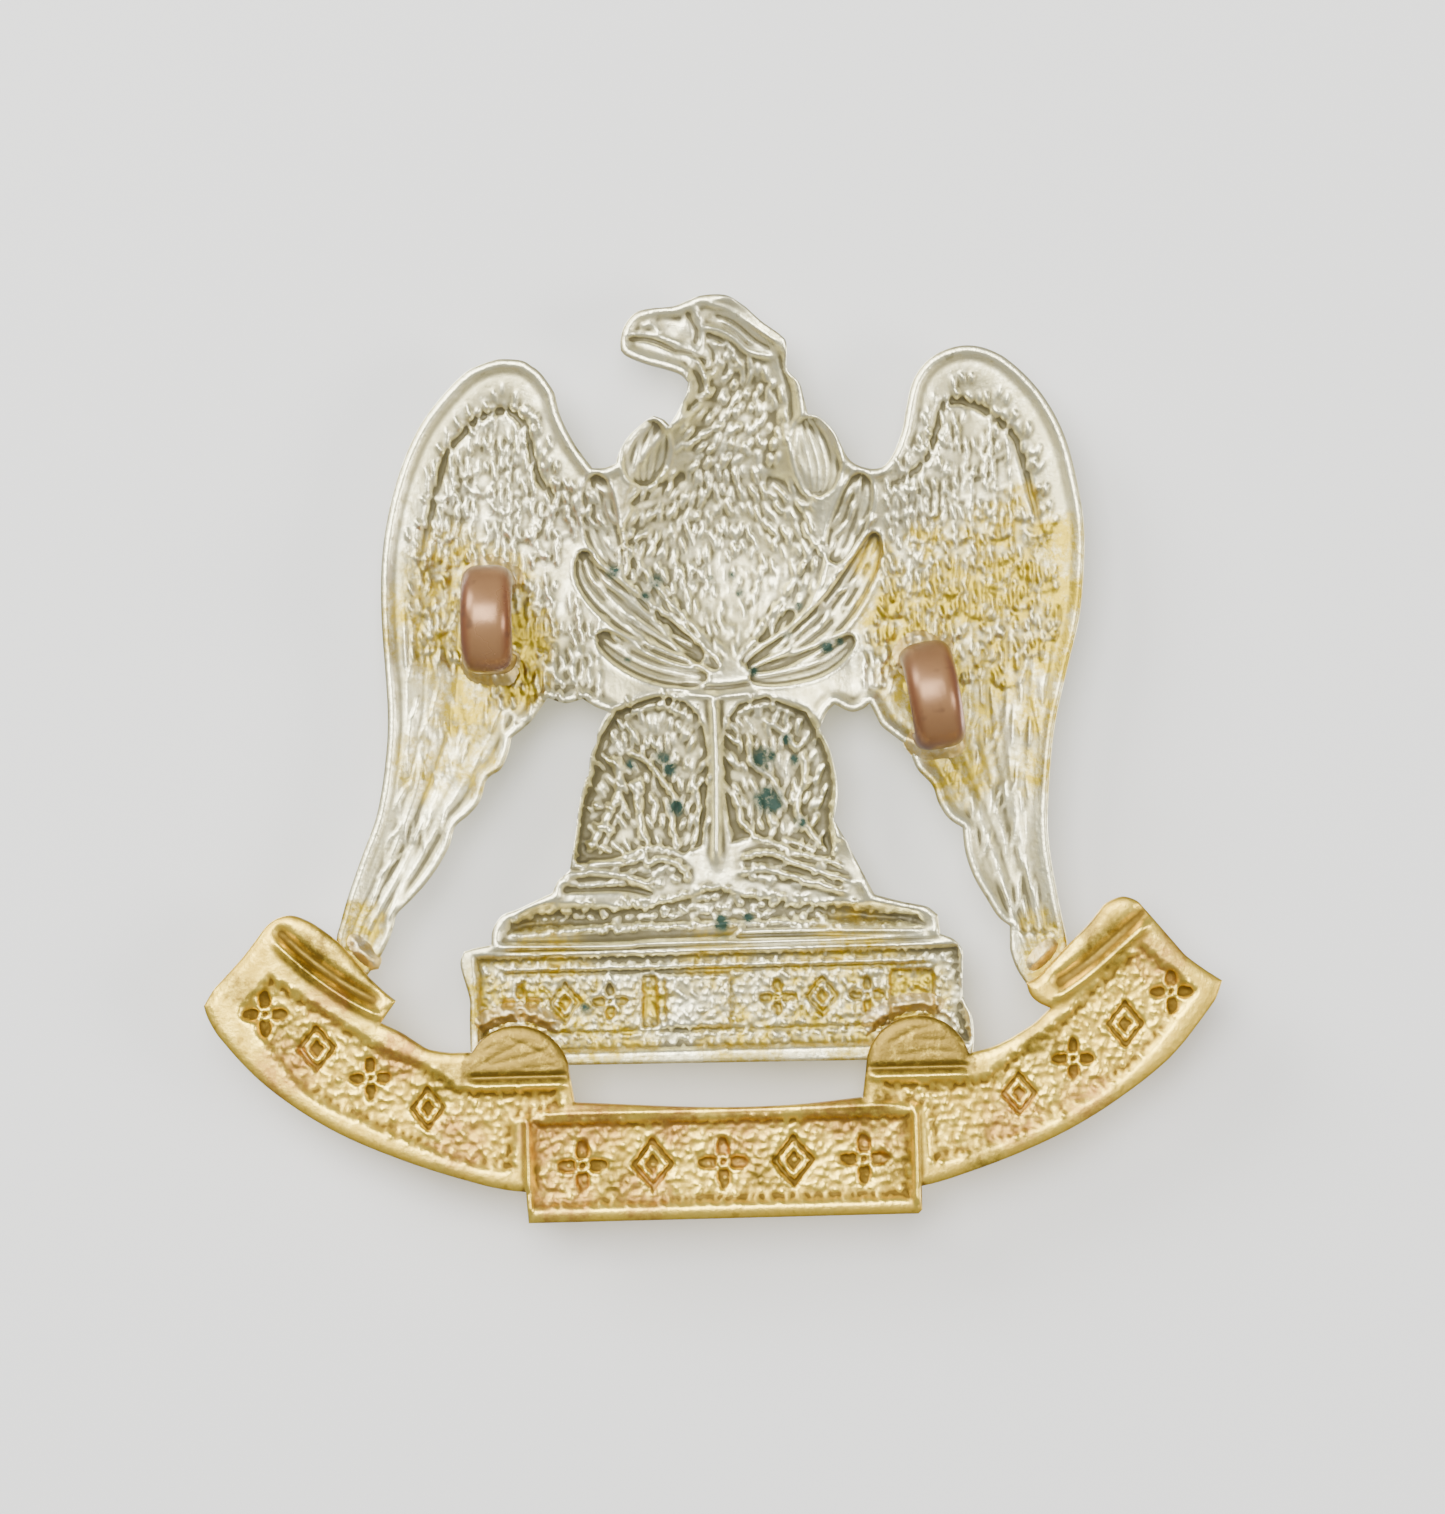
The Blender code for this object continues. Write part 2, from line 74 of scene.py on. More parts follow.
def outline_of(node):
    """Silhouette of a flat piece: the ring where its back meets its upright edge."""
    shape = bmesh.new()
    shape.from_mesh(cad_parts[node].data)
    bmesh.ops.remove_doubles(shape, verts=shape.verts, dist=1e-6)
    shape.normal_update()
    beside = {}
    for edge in shape.edges:
        tilts = sorted(face.normal.y for face in edge.link_faces)
        if len(tilts) == 2 and tilts[0] < -EDGE_LEVEL and abs(tilts[1]) < EDGE_LEVEL:
            for one, other in (edge.verts, reversed(edge.verts)):
                beside.setdefault(one, []).append(other)
    first = min(beside, key=lambda vert: (vert.co.x, vert.co.z))
    walked = [first, max(beside[first], key=lambda vert: vert.co.z)]
    while True:
        onward = [vert for vert in beside[walked[-1]] if vert is not walked[-2]][0]
        if onward is first:
            break
        walked.append(onward)
    ring = np.array([(vert.co.x / MM, vert.co.z / MM - BASE_LINE) for vert in walked])
    shape.free()
    return ring


def fair(ring, step, closed=True):
    """The same line with a smooth run of close points between its corners."""
    ring = np.asarray(ring, dtype=float)
    count = len(ring)
    into = ring - np.roll(ring, 1, axis=0)
    out = np.roll(ring, -1, axis=0) - ring
    crossed = into[:, 0] * out[:, 1] - into[:, 1] * out[:, 0]
    sharp = np.abs(np.arctan2(crossed, (into * out).sum(axis=1))) > CORNER_TURN
    if not closed:
        sharp = np.zeros(count, dtype=bool)
        sharp[[0, -1]] = True
    run = []
    for i in range(count if closed else count - 1):
        start, end = ring[i], ring[(i + 1) % count]
        before = 2 * start - end if sharp[i] else ring[i - 1]
        after = 2 * end - start if sharp[(i + 1) % count] else ring[(i + 2) % count]
        parts = max(1, round(float(np.linalg.norm(end - start)) / step))
        for t in np.arange(parts) / parts:
            # Catmull-Rom curve through the four points
            run.append(0.5 * (2 * start + (end - before) * t
                              + (2 * before - 5 * start + 4 * end - after) * t ** 2
                              + (3 * start - before - 3 * end + after) * t ** 3))
    return np.array(run if closed else run + [ring[-1]])


def ease(value):
    """Smooth rise from 0 to 1."""
    value = np.clip(value, 0, 1)
    return value * value * (3 - 2 * value)


def inside(at, ring):
    """Whether each point lies inside a closed ring."""
    within = np.zeros(len(at), dtype=bool)
    for (x0, up0), (x1, up1) in zip(ring, np.roll(ring, -1, axis=0)):
        if up0 != up1:
            crosses = (up0 > at[:, 1]) != (up1 > at[:, 1])
            within ^= crosses & (at[:, 0] < (x1 - x0) * (at[:, 1] - up0) / (up1 - up0) + x0)
    return within


def beside_line(at, line):
    """Distance of each point from an open line, and how far along it the nearest place is."""
    line = np.asarray(line, dtype=float)
    runs = np.linalg.norm(np.diff(line, axis=0), axis=1)
    passed = np.concatenate([[0], np.cumsum(runs)]) / runs.sum()
    nearest = np.full(len(at), np.inf)
    share = np.zeros(len(at))
    for i in range(len(line) - 1):
        run = line[i + 1] - line[i]
        t = np.clip((at - line[i]) @ run / (run @ run), 0, 1)
        apart = np.linalg.norm(at - line[i] - t[:, None] * run, axis=1)
        closer = apart < nearest
        nearest[closer] = apart[closer]
        share[closer] = (passed[i] + t * (passed[i + 1] - passed[i]))[closer]
    return nearest, share


def near(at, line, reach):
    """Numbers of the points that lie in the box round a line, grown by a reach."""
    line = np.asarray(line, dtype=float)
    low, high = line.min(axis=0) - reach, line.max(axis=0) + reach
    return np.nonzero(((at > low) & (at < high)).all(axis=1))[0]


def distance_to(ring):
    """Function that gives how far each of some points is from the nearest point of a ring."""
    tree = KDTree(len(ring))
    for index, (x, up) in enumerate(ring):
        tree.insert((x, up, 0), index)
    tree.balance()
    return lambda at: np.array([tree.find((x, up, 0))[2] for x, up in at])


def inward_of(at, ring):
    """Numbers of the points that lie inside a ring, and how far inside they are."""
    some = near(at, ring, 0)
    some = some[inside(at[some], ring)]
    return some, beside_line(at[some], np.vstack([ring, ring[:1]]))[0]


def press(sink, at, ring, depth, wall):
    """Sinks the sheet further inside a ring, with sloping walls of a given width."""
    some, inward = inward_of(at, ring)
    sink[some] += depth * ease(inward / wall)


WALL_START = 0.12


def hollow(sink, at, ring, level, wall):
    """Sinks the sheet to a level inside a ring, wherever it isn't deeper already."""
    some, inward = inward_of(at, ring)
    sink[some] = np.maximum(sink[some], level * ease(inward / wall + WALL_START))


def bowl(sink, at, middle, half, depth):
    """Sinks an oval bowl in the sheet. It runs smoothly into whatever is sunk there already."""
    reach = (((at - middle) / half) ** 2).sum(axis=1)
    some = np.nonzero(reach < 1)[0]
    deep = depth * (1 - reach[some]) ** 0.7
    sink[some] = (np.clip(sink[some], 0, None) ** 4 + deep ** 4) ** 0.25


FADING_SHARE = 0.12


def score(sink, at, line, width, depth):
    """Draws a tool along a line: it sinks the sheet, or raises a ridge if the depth is negative."""
    some = near(at, line, 3 * width)
    apart, share = beside_line(at[some], line)
    fading = ease(np.minimum(share, 1 - share) / FADING_SHARE + 0.25)
    sink[some] += depth * fading * np.exp(-(apart / width) ** 2)


LEAF_EDGE_WIDTH = 0.12
LEAF_EDGE_HEIGHT = 0.11
RIB_SHARE = 0.28


def leaf(sink, at, spine, half_width, depth, ribs):
    """A laurel leaf: a pointed hollow with a raised edge and ribs that run its length."""
    spine = fair(spine, 0.4, closed=False)
    some = near(at, spine, half_width + 0.3)
    apart, share = beside_line(at[some], spine)
    half = half_width * np.sqrt(np.clip(4 * share * (1 - share), 0, 1)) ** 0.8 + 0.05
    across = apart / half
    dish = np.clip(1 - across ** 2, 0, 1) ** 0.6
    ribbed = 0.5 - 0.5 * np.cos(2 * math.pi * ribs * across)
    edge = np.exp(-((apart - half) / LEAF_EDGE_WIDTH) ** 2)
    sink[some] += depth * dish * (1 - RIB_SHARE + RIB_SHARE * ribbed) - LEAF_EDGE_HEIGHT * edge


MARK_WANDER = 0.22
MARK_SIZES = (0.75, 1.3)
MARK_HEIGHTS = (0.35, 1.3)
MARK_TURN = 0.16


def scatter(seed, ring, pitch, length, width, height, lean=lambda x, up: 0.0, share=lambda x, up: 1.0):
    """Places for the many small marks of a chasing tool, spread evenly inside a ring.

    length and width are half sizes. lean and share give each place's slant and share of the height.
    """
    chance = np.random.default_rng(seed)
    ring = np.asarray(ring, dtype=float)
    low, high = ring.min(axis=0), ring.max(axis=0)
    row_pitch = pitch * length / width
    marks = []
    for i, up in enumerate(np.arange(low[1], high[1], row_pitch)):
        for x in np.arange(low[0], high[0], pitch):
            wander = chance.normal(0, MARK_WANDER, 2) * (pitch, row_pitch)
            place = (x + (i % 2) * pitch / 2, up) + wander
            size = chance.uniform(*MARK_SIZES, 2) * (length, width)
            tall = height * share(*place) * chance.uniform(*MARK_HEIGHTS)
            marks.append((*place, *size, lean(*place) + chance.normal(0, MARK_TURN), tall))
    marks = np.array(marks)
    within, inward = inward_of(marks[:, :2], ring)
    return marks[within[inward > width]]


def strike(sink, at, marks):
    """Raises a small oval scale at every mark. Where scales overlap the higher one shows."""
    order = np.argsort(at[:, 1])
    heights = at[order, 1]
    raised = np.zeros(len(at))
    for x, up, length, width, lean, height in marks:
        first, last = np.searchsorted(heights, (up - length, up + length))
        some = order[first:last]
        some = some[np.abs(at[some, 0] - x) < length]
        off = at[some] - (x, up)
        along = off @ (math.sin(lean), math.cos(lean))
        across = off @ (math.cos(lean), -math.sin(lean))
        crown = np.clip(1 - (along / length) ** 2 - (across / width) ** 2, 0, 1)
        raised[some] = np.maximum(raised[some], height * crown ** 0.55)
    sink -= raised


def between(outer, inner, share):
    """Line part of the way from one line to another with as many points."""
    return np.asarray(outer) * (1 - share) + np.asarray(inner) * share


EAGLE_RING = fair(outline_of("eagle"), EDGE_STEP)

CHEST_RING = fair([
    (0.9, 38.7), (3.6, 38.3), (5.4, 36.8), (5.9, 34.8), (5.6, 32.6), (4.4, 30.6), (2.6, 29.2),
    (1.0, 28.4), (-0.8, 29.3), (-2.8, 30.8), (-4.3, 32.8), (-4.9, 34.9), (-4.2, 37.0), (-2.4, 38.4),
], 0.4)
NECK_RING = fair([
    (0.0, 38.2), (-1.4, 39.2), (-1.5, 40.6), (-0.5, 42.2), (-0.2, 43.6), (0.6, 44.6), (2.2, 44.3),
    (3.4, 43.8), (4.2, 42.4), (4.4, 40.6), (4.1, 38.9), (3.4, 38.2),
], 0.3)
BODY_RING = fair([
    (0.6, 44.4), (2.2, 44.2), (3.4, 43.7), (4.2, 42.6), (4.5, 41.2), (4.3, 39.6), (4.6, 38.4),
    (5.6, 37.0), (6.0, 34.8), (5.6, 32.6), (4.4, 30.6), (2.6, 29.2), (1.0, 28.4), (-0.8, 29.3),
    (-2.8, 30.8), (-4.3, 32.8), (-4.9, 34.9), (-4.2, 37.0), (-2.6, 38.2), (-1.5, 39.4), (-1.5, 40.6),
    (-0.6, 42.0), (-0.1, 43.2),
], 0.4)
BEAK_RING = fair([
    (-3.8, 45.3), (-3.5, 46.1), (-2.6, 46.5), (-1.4, 46.5), (-0.7, 46.2), (-0.6, 45.0), (-1.0, 44.1),
    (-2.2, 44.3), (-3.4, 44.9),
], 0.2)
LEFT_LEG_RING = fair([
    (-2.8, 27.2), (-1.2, 26.9), (-0.3, 25.8), (0.0, 23.8), (-0.1, 21.5), (-0.4, 19.0), (-1.6, 18.5),
    (-3.2, 19.0), (-5.2, 18.4), (-7.4, 18.2), (-7.0, 21.3), (-6.4, 23.2), (-6.0, 24.8), (-5.0, 26.4),
], 0.3)
RIGHT_LEG_RING = fair([
    (2.8, 27.1), (1.2, 26.7), (0.5, 25.6), (0.25, 23.8), (0.35, 21.0), (0.6, 18.9), (2.2, 19.3),
    (4.2, 18.6), (6.4, 17.9), (6.1, 20.2), (6.3, 22.3), (6.0, 24.0), (5.0, 26.1),
], 0.3)
LEFT_FOOT_RING = [
    (-8.6, 16.9), (-7.8, 18.3), (-5.2, 18.5), (-3.2, 19.0), (-0.9, 18.5), (-0.8, 17.5), (-3.2, 16.9),
]
RIGHT_FOOT_RING = [
    (0.8, 17.5), (1.0, 18.7), (2.4, 19.3), (4.8, 18.8), (7.4, 17.4), (7.0, 16.5), (3.4, 16.8),
]
MOUND_RING = fair([
    (-11.1, 14.7), (-10.7, 15.7), (-8.6, 16.5), (-3.4, 16.8), (-1.0, 17.3), (0.2, 17.8), (1.3, 17.2),
    (3.4, 16.9), (7.2, 16.3), (10.4, 15.6), (11.0, 14.7),
], 0.4)
LEFT_WREATH_RING = [
    (-1.4, 28.6), (-3.2, 28.2), (-6.4, 30.2), (-5.4, 31.4), (-7.0, 34.2), (-6.6, 36.0), (-6.3, 38.4),
    (-4.9, 38.2), (-4.5, 36.4), (-4.9, 34.6), (-4.0, 32.4), (-2.6, 30.6),
]
RIGHT_WREATH_RING = [
    (2.8, 28.4), (5.0, 28.2), (8.0, 29.9), (7.4, 31.0), (9.2, 35.2), (8.2, 36.0), (8.6, 38.2),
    (7.2, 38.2), (6.2, 36.0), (6.2, 34.0), (5.2, 31.8), (3.8, 29.9),
]
FIELD_RING = fair([(-12.3, 8.75), (-12.55, 13.9), (12.5, 13.9), (12.9, 8.75)], 0.5)

LEFT_COVERT_RING = [
    (-7.2, 37.2), (-7.6, 40.2), (-8.6, 42.2), (-10.2, 43.1), (-11.8, 42.6), (-13.6, 40.4),
    (-14.9, 37.4), (-15.5, 34.4), (-14.7, 34.6), (-14.4, 36.0), (-13.4, 39.4), (-12.6, 40.4),
    (-11.6, 41.3), (-10.2, 41.7), (-9.5, 41.2), (-9.1, 40.0), (-8.7, 38.3),
]
RIGHT_COVERT_RING = [
    (9.2, 38.0), (10.9, 40.0), (11.6, 42.2), (13.2, 43.2), (15.2, 42.6), (16.8, 40.4), (17.7, 37.6),
    (18.2, 34.6), (17.0, 35.6), (16.3, 38.5), (15.8, 39.9), (14.5, 41.0), (13.3, 41.6), (12.4, 41.4),
    (11.9, 40.0), (11.2, 38.5),
]
LEFT_SCALE_RING = [
    (-6.0, 37.6), (-8.2, 37.8), (-9.0, 40.0), (-9.5, 41.1), (-10.2, 41.5), (-11.6, 41.0), (-13.4, 39.0),
    (-14.4, 35.6), (-15.6, 33.6), (-15.8, 30.0), (-13.2, 29.4), (-10.6, 27.0), (-8.4, 26.4),
    (-5.8, 27.2), (-5.4, 30.4), (-7.4, 33.0),
]
RIGHT_SCALE_RING = [
    (8.6, 37.2), (11.2, 38.4), (12.0, 40.0), (12.5, 41.2), (14.4, 40.7), (16.1, 38.4), (17.2, 35.2),
    (18.0, 32.4), (17.6, 28.4), (14.4, 27.6), (10.0, 27.4), (7.6, 26.8), (8.0, 31.0), (9.3, 34.6),
]
LEFT_VANE_RING = [
    (-15.8, 30.0), (-15.6, 26.0), (-16.4, 21.6), (-18.4, 15.8), (-17.4, 14.6), (-13.2, 21.4),
    (-10.4, 26.0), (-13.2, 29.4),
]
RIGHT_VANE_RING = [
    (17.6, 28.4), (16.4, 24.0), (16.2, 19.6), (16.8, 14.0), (15.8, 13.2), (13.6, 18.6), (10.8, 24.0),
    (10.2, 27.0), (14.4, 27.6),
]
LEFT_QUILLS = ([(-16.6, 33.0), (-16.4, 26.6), (-17.0, 21.2), (-19.0, 15.6)],
               [(-8.2, 31.0), (-9.4, 26.2), (-13.2, 20.8), (-17.3, 14.4)])
RIGHT_QUILLS = ([(18.8, 32.0), (17.8, 25.6), (16.9, 20.0), (17.4, 13.6)],
                [(9.2, 29.6), (9.8, 24.6), (12.8, 20.0), (15.6, 12.6)])
QUILLS_ACROSS = 9

LEFT_CREASE = [
    (-14.6, 34.5), (-14.3, 36.0), (-13.3, 39.5), (-12.5, 40.5), (-11.6, 41.4), (-10.2, 41.8),
    (-9.4, 41.2), (-9.0, 40.0), (-8.6, 38.3), (-7.6, 37.0),
]
RIGHT_CREASE = [
    (9.2, 37.3), (10.2, 37.8), (11.2, 38.6), (11.9, 40.2), (12.3, 41.5), (13.3, 41.7), (14.5, 41.1),
    (15.8, 39.9), (16.3, 38.5), (17.0, 35.5),
]

LEAVES = [
    # spine from root to point, half width, depth, ribs
    ([(-3.2, 37.8), (-3.2, 38.8), (-2.9, 40.0), (-2.5, 41.0)], 1.20, 0.34, 3),
    ([(5.7, 37.0), (5.8, 38.4), (5.5, 39.8), (5.1, 41.0)], 1.20, 0.40, 3),
    ([(-4.7, 33.6), (-5.4, 35.4), (-5.6, 37.0), (-5.6, 38.4)], 0.95, 0.36, 2),
    ([(6.4, 33.6), (7.1, 35.2), (7.7, 36.8), (8.0, 38.1)], 0.95, 0.36, 2),
    ([(-0.4, 28.8), (-2.2, 29.8), (-4.6, 31.6), (-6.0, 33.1), (-6.4, 34.5)], 1.05, 0.55, 2),
    ([(1.9, 28.3), (4.4, 29.4), (6.4, 31.0), (7.8, 33.0), (8.7, 35.0)], 0.95, 0.55, 2),
    ([(-0.2, 27.8), (-2.4, 28.3), (-4.2, 29.1), (-5.8, 30.2)], 0.85, 0.45, 2),
    ([(2.0, 27.8), (3.9, 28.1), (5.7, 28.6), (7.4, 29.7)], 0.78, 0.45, 2),
    ([(0.4, 28.3), (-0.9, 29.3), (-2.4, 31.1)], 0.48, 0.22, 1),
    ([(1.6, 28.5), (2.9, 29.5), (4.3, 31.2)], 0.52, 0.22, 1),
    ([(-0.6, 29.8), (-2.2, 31.0), (-3.6, 32.8), (-4.4, 34.6)], 0.60, 0.20, 1),
    ([(2.4, 29.7), (4.0, 31.0), (5.2, 32.8), (5.9, 34.6)], 0.60, 0.20, 1),
]

SCORES = [
    # line, width, depth, which is below 0 for a ridge
    (LEFT_CREASE, 0.20, 0.30),
    (RIGHT_CREASE, 0.20, 0.30),
    # mouth, cere, brow and crest
    ([(-4.0, 45.25), (-3.0, 45.25), (-2.2, 45.0), (-1.4, 44.6), (-0.7, 44.5), (0.3, 43.9)], 0.09, 0.18),
    ([(-3.8, 45.5), (-2.8, 45.5), (-1.8, 45.2), (-1.0, 44.9)], 0.14, -0.14),
    ([(-3.2, 45.9), (-2.7, 46.0), (-2.1, 45.5)], 0.20, -0.16),
    ([(-2.4, 46.4), (-1.6, 46.3), (-1.0, 46.2)], 0.25, 0.10),
    ([(-0.8, 46.6), (-0.5, 46.0), (-0.3, 45.6), (-0.4, 44.9)], 0.09, 0.16),
    ([(-0.4, 46.8), (-0.1, 46.2), (0.0, 45.6), (0.0, 44.9)], 0.14, -0.16),
    ([(0.0, 45.8), (0.9, 45.6), (1.6, 45.2), (2.4, 44.5), (3.6, 44.2)], 0.16, -0.26),
    ([(0.2, 45.4), (0.8, 45.2), (1.3, 44.7)], 0.09, 0.18),
    ([(0.6, 44.9), (1.2, 44.9), (1.6, 44.5)], 0.09, -0.20),
    ([(0.2, 45.0), (0.5, 44.6), (0.6, 44.0)], 0.08, 0.14),
    ([(0.9, 44.4), (1.2, 43.9), (1.1, 43.3)], 0.08, 0.14),
    ([(1.5, 44.4), (1.9, 44.0), (2.0, 43.4)], 0.09, -0.18),
    ([(0.2, 47.0), (1.4, 46.6), (2.6, 45.8), (3.8, 44.9)], 0.12, -0.18),
    ([(0.8, 46.75), (1.8, 46.35), (2.9, 45.45), (3.8, 44.7)], 0.07, 0.12),
    ([(0.6, 46.4), (1.6, 46.0), (2.6, 45.15), (3.5, 44.6)], 0.09, 0.16),
    ([(0.9, 46.2), (1.7, 45.7), (2.6, 44.9)], 0.09, -0.14),
    # nape, throat and the folds where the neck joins the breast
    ([(3.9, 44.4), (4.1, 43.4), (4.4, 42.3), (4.4, 40.9)], 0.10, 0.12),
    ([(-1.1, 44.1), (-0.3, 43.3), (-0.2, 42.4), (-0.9, 41.2)], 0.10, 0.10),
    ([(-0.3, 44.2), (0.1, 43.2), (0.3, 42.2)], 0.12, -0.20),
    ([(-4.0, 36.9), (-2.6, 37.5), (-1.0, 38.4)], 0.34, 0.22),
    ([(3.0, 38.0), (4.2, 37.7), (5.4, 36.6)], 0.34, 0.22),
    # stem of the wreath, and a ridge under it
    ([(-1.6, 27.5), (0.3, 27.3), (2.3, 27.5)], 0.14, 0.22),
    ([(-1.4, 27.0), (0.4, 26.85), (2.4, 27.0)], 0.12, -0.16),
    # folds of the feathers on the thighs
    ([(-4.4, 24.2), (-3.4, 23.6), (-2.6, 22.6), (-1.8, 21.4)], 0.16, -0.40),
    ([(-5.2, 24.0), (-4.8, 22.4), (-5.6, 20.6), (-6.6, 19.0)], 0.26, -0.38),
    ([(-4.0, 22.8), (-3.9, 21.2), (-3.6, 19.4)], 0.24, -0.36),
    ([(-5.4, 25.0), (-6.0, 23.4), (-6.5, 21.8)], 0.13, -0.22),
    ([(-4.6, 21.4), (-5.4, 20.0), (-6.0, 18.8)], 0.12, -0.22),
    ([(-2.5, 21.8), (-2.2, 20.4), (-1.9, 19.0)], 0.14, -0.30),
    ([(-0.9, 22.4), (-0.8, 20.8), (-1.1, 19.2)], 0.13, -0.26),
    ([(-4.6, 25.9), (-2.9, 26.5), (-1.3, 25.9)], 0.16, -0.18),
    ([(1.2, 21.4), (1.5, 20.2), (2.4, 19.4)], 0.14, -0.28),
    ([(4.6, 24.0), (4.7, 22.6), (4.2, 21.0), (5.2, 19.4), (6.0, 18.4)], 0.20, -0.36),
    ([(1.9, 24.8), (2.0, 23.4), (3.0, 22.6), (3.6, 21.2)], 0.15, -0.34),
    ([(2.9, 20.9), (3.0, 19.9), (2.6, 19.2)], 0.16, -0.28),
    ([(2.6, 25.6), (3.6, 25.0), (4.3, 24.0)], 0.13, -0.22),
    ([(1.2, 25.9), (2.8, 26.4), (4.4, 25.8)], 0.16, -0.18),
    # ridge between the legs
    ([(0.1, 27.0), (0.15, 24.0), (0.1, 21.0), (0.0, 18.2)], 0.26, -0.50),
    # toes and talons
    ([(-8.2, 17.6), (-6.4, 18.0), (-4.2, 17.6), (-3.2, 17.0)], 0.22, -0.32),
    ([(-3.7, 18.2), (-2.7, 18.6), (-1.7, 18.1), (-1.4, 17.5)], 0.15, -0.36),
    ([(-6.6, 18.6), (-5.2, 18.4), (-4.0, 18.5)], 0.14, -0.22),
    ([(-8.0, 17.1), (-5.0, 17.1), (-3.2, 16.8)], 0.14, 0.26),
    ([(1.0, 17.7), (2.6, 17.9), (4.6, 17.3), (6.8, 16.6)], 0.18, -0.32),
    ([(1.2, 18.5), (2.6, 18.8), (4.6, 18.0), (7.0, 17.2)], 0.16, -0.38),
    ([(3.4, 19.5), (4.9, 18.9), (6.6, 17.9)], 0.14, -0.28),
    # edge and steps of the tablet
    ([(-11.4, 14.35), (-5.0, 14.2), (-3.6, 14.4), (0.5, 14.5), (2.0, 14.75), (11.2, 14.6)], 0.16, -0.35),
    ([(-11.6, 14.0), (11.6, 14.15)], 0.12, 0.30),
    ([(-11.4, 13.1), (11.3, 13.1)], 0.10, -0.22),
    ([(-11.3, 12.85), (10.9, 12.85)], 0.09, 0.20),
    ([(-11.6, 9.75), (11.4, 9.75)], 0.08, 0.14),
]


PLUME_ACROSS = 2.1
PLUME_UP = 2.4
BARB_PLACES = np.array([(column, row) for column in (-1.5, -0.5, 0.5, 1.5) for row in (-1, 0, 1)])
BARB_PITCH = (0.42, 0.68)
BARB_HALF = (0.44, 0.12)


def plumes(seed, ring):
    """Wing feathers in staggered rows: the round tip of each, and the flecks of its barbs."""
    chance = np.random.default_rng(seed)
    ring = np.asarray(ring, dtype=float)
    low, high = ring.min(axis=0), ring.max(axis=0)
    tips, flecks = [], []
    for i, up in enumerate(np.arange(low[1], high[1], PLUME_UP / 2)):
        for x in np.arange(low[0] + (i % 2) * PLUME_ACROSS / 2, high[0], PLUME_ACROSS):
            middle = np.array([x, up]) + chance.normal(0, 0.16, 2)
            turns = np.linspace(0.15 * math.pi, 0.85 * math.pi, 7) * chance.uniform(0.92, 1.0)
            reach = np.array([PLUME_ACROSS * 0.46, PLUME_UP * 0.42]) * chance.uniform(0.85, 1.1)
            tip = middle - np.column_stack([np.cos(turns), np.sin(turns)]) * reach
            barbs = BARB_PLACES[chance.random(len(BARB_PLACES)) < 0.8]
            spots = middle + barbs * BARB_PITCH + chance.normal(0, 1, barbs.shape) * (0.05, 0.16)
            sizes = chance.uniform(0.75, 1.25, barbs.shape) * BARB_HALF
            leans = 0.10 * barbs[:, 0] + chance.normal(0, 0.10, len(barbs))
            heights = chance.uniform(0.10, 0.26, len(barbs))
            if inside(middle[None], ring)[0]:
                tips.append(tip)
                flecks.append(np.column_stack([spots, sizes, leans, heights]))
    return tips, np.vstack(flecks)


def chest_share(x, up):
    """Feathers of the breast are cut boldly above and at the sides, and faintly in the middle."""
    return 0.70 + 0.30 * float(ease(((x - 2.0) / 3.4) ** 2 + max(0.0, up - 33.5) / 2.5))


def chest_lean(x, up):
    """Feathers of the breast lean in towards the neck above, and fan out from the wreath's stem below."""
    return 0.045 * (x - 0.7) * (33.8 - up)


def wreath_lean(x, up):
    """Leaves of the wreath fan out from its stem."""
    return math.atan2(x - 0.7, up - 25.0)


left_tips, left_flecks = plumes(3, LEFT_SCALE_RING)
right_tips, right_flecks = plumes(4, RIGHT_SCALE_RING)
feather_marks = np.vstack([
    left_flecks,
    right_flecks,
    # seed, ring, pitch, half length, half width, height, slant
    scatter(1, LEFT_COVERT_RING, 0.38, 0.36, 0.15, 0.24, lambda x, up: 0.10 * (x + 10.6)),
    scatter(2, RIGHT_COVERT_RING, 0.38, 0.36, 0.15, 0.24, lambda x, up: 0.10 * (x - 13.6)),
    scatter(5, LEFT_VANE_RING, 0.32, 0.90, 0.10, 0.12, lambda x, up: -0.04 * (up - 28)),
    scatter(6, RIGHT_VANE_RING, 0.32, 0.90, 0.10, 0.12, lambda x, up: 0.10),
    scatter(7, CHEST_RING, 0.31, 0.42, 0.13, 0.24, chest_lean, chest_share),
    scatter(8, NECK_RING, 0.36, 0.36, 0.155, 0.24, lambda x, up: 0.65 - 0.18 * x),
    scatter(9, MOUND_RING, 0.38, 0.22, 0.18, 0.24, lambda x, up: 1.2),
    scatter(10, LEFT_LEG_RING, 0.36, 0.42, 0.14, 0.26, lambda x, up: 0.22 * (x + 2.6)),
    scatter(11, RIGHT_LEG_RING, 0.36, 0.42, 0.14, 0.26, lambda x, up: 0.22 * (x - 3.0)),
    scatter(15, LEFT_FOOT_RING, 0.36, 0.24, 0.16, 0.20, lambda x, up: 1.3),
    scatter(16, RIGHT_FOOT_RING, 0.36, 0.24, 0.16, 0.20, lambda x, up: 1.8),
    scatter(12, FIELD_RING, 0.34, 0.17, 0.14, 0.14),
    scatter(13, LEFT_WREATH_RING, 0.40, 0.45, 0.12, 0.16, wreath_lean),
    scatter(14, RIGHT_WREATH_RING, 0.40, 0.45, 0.12, 0.16, wreath_lean),
])


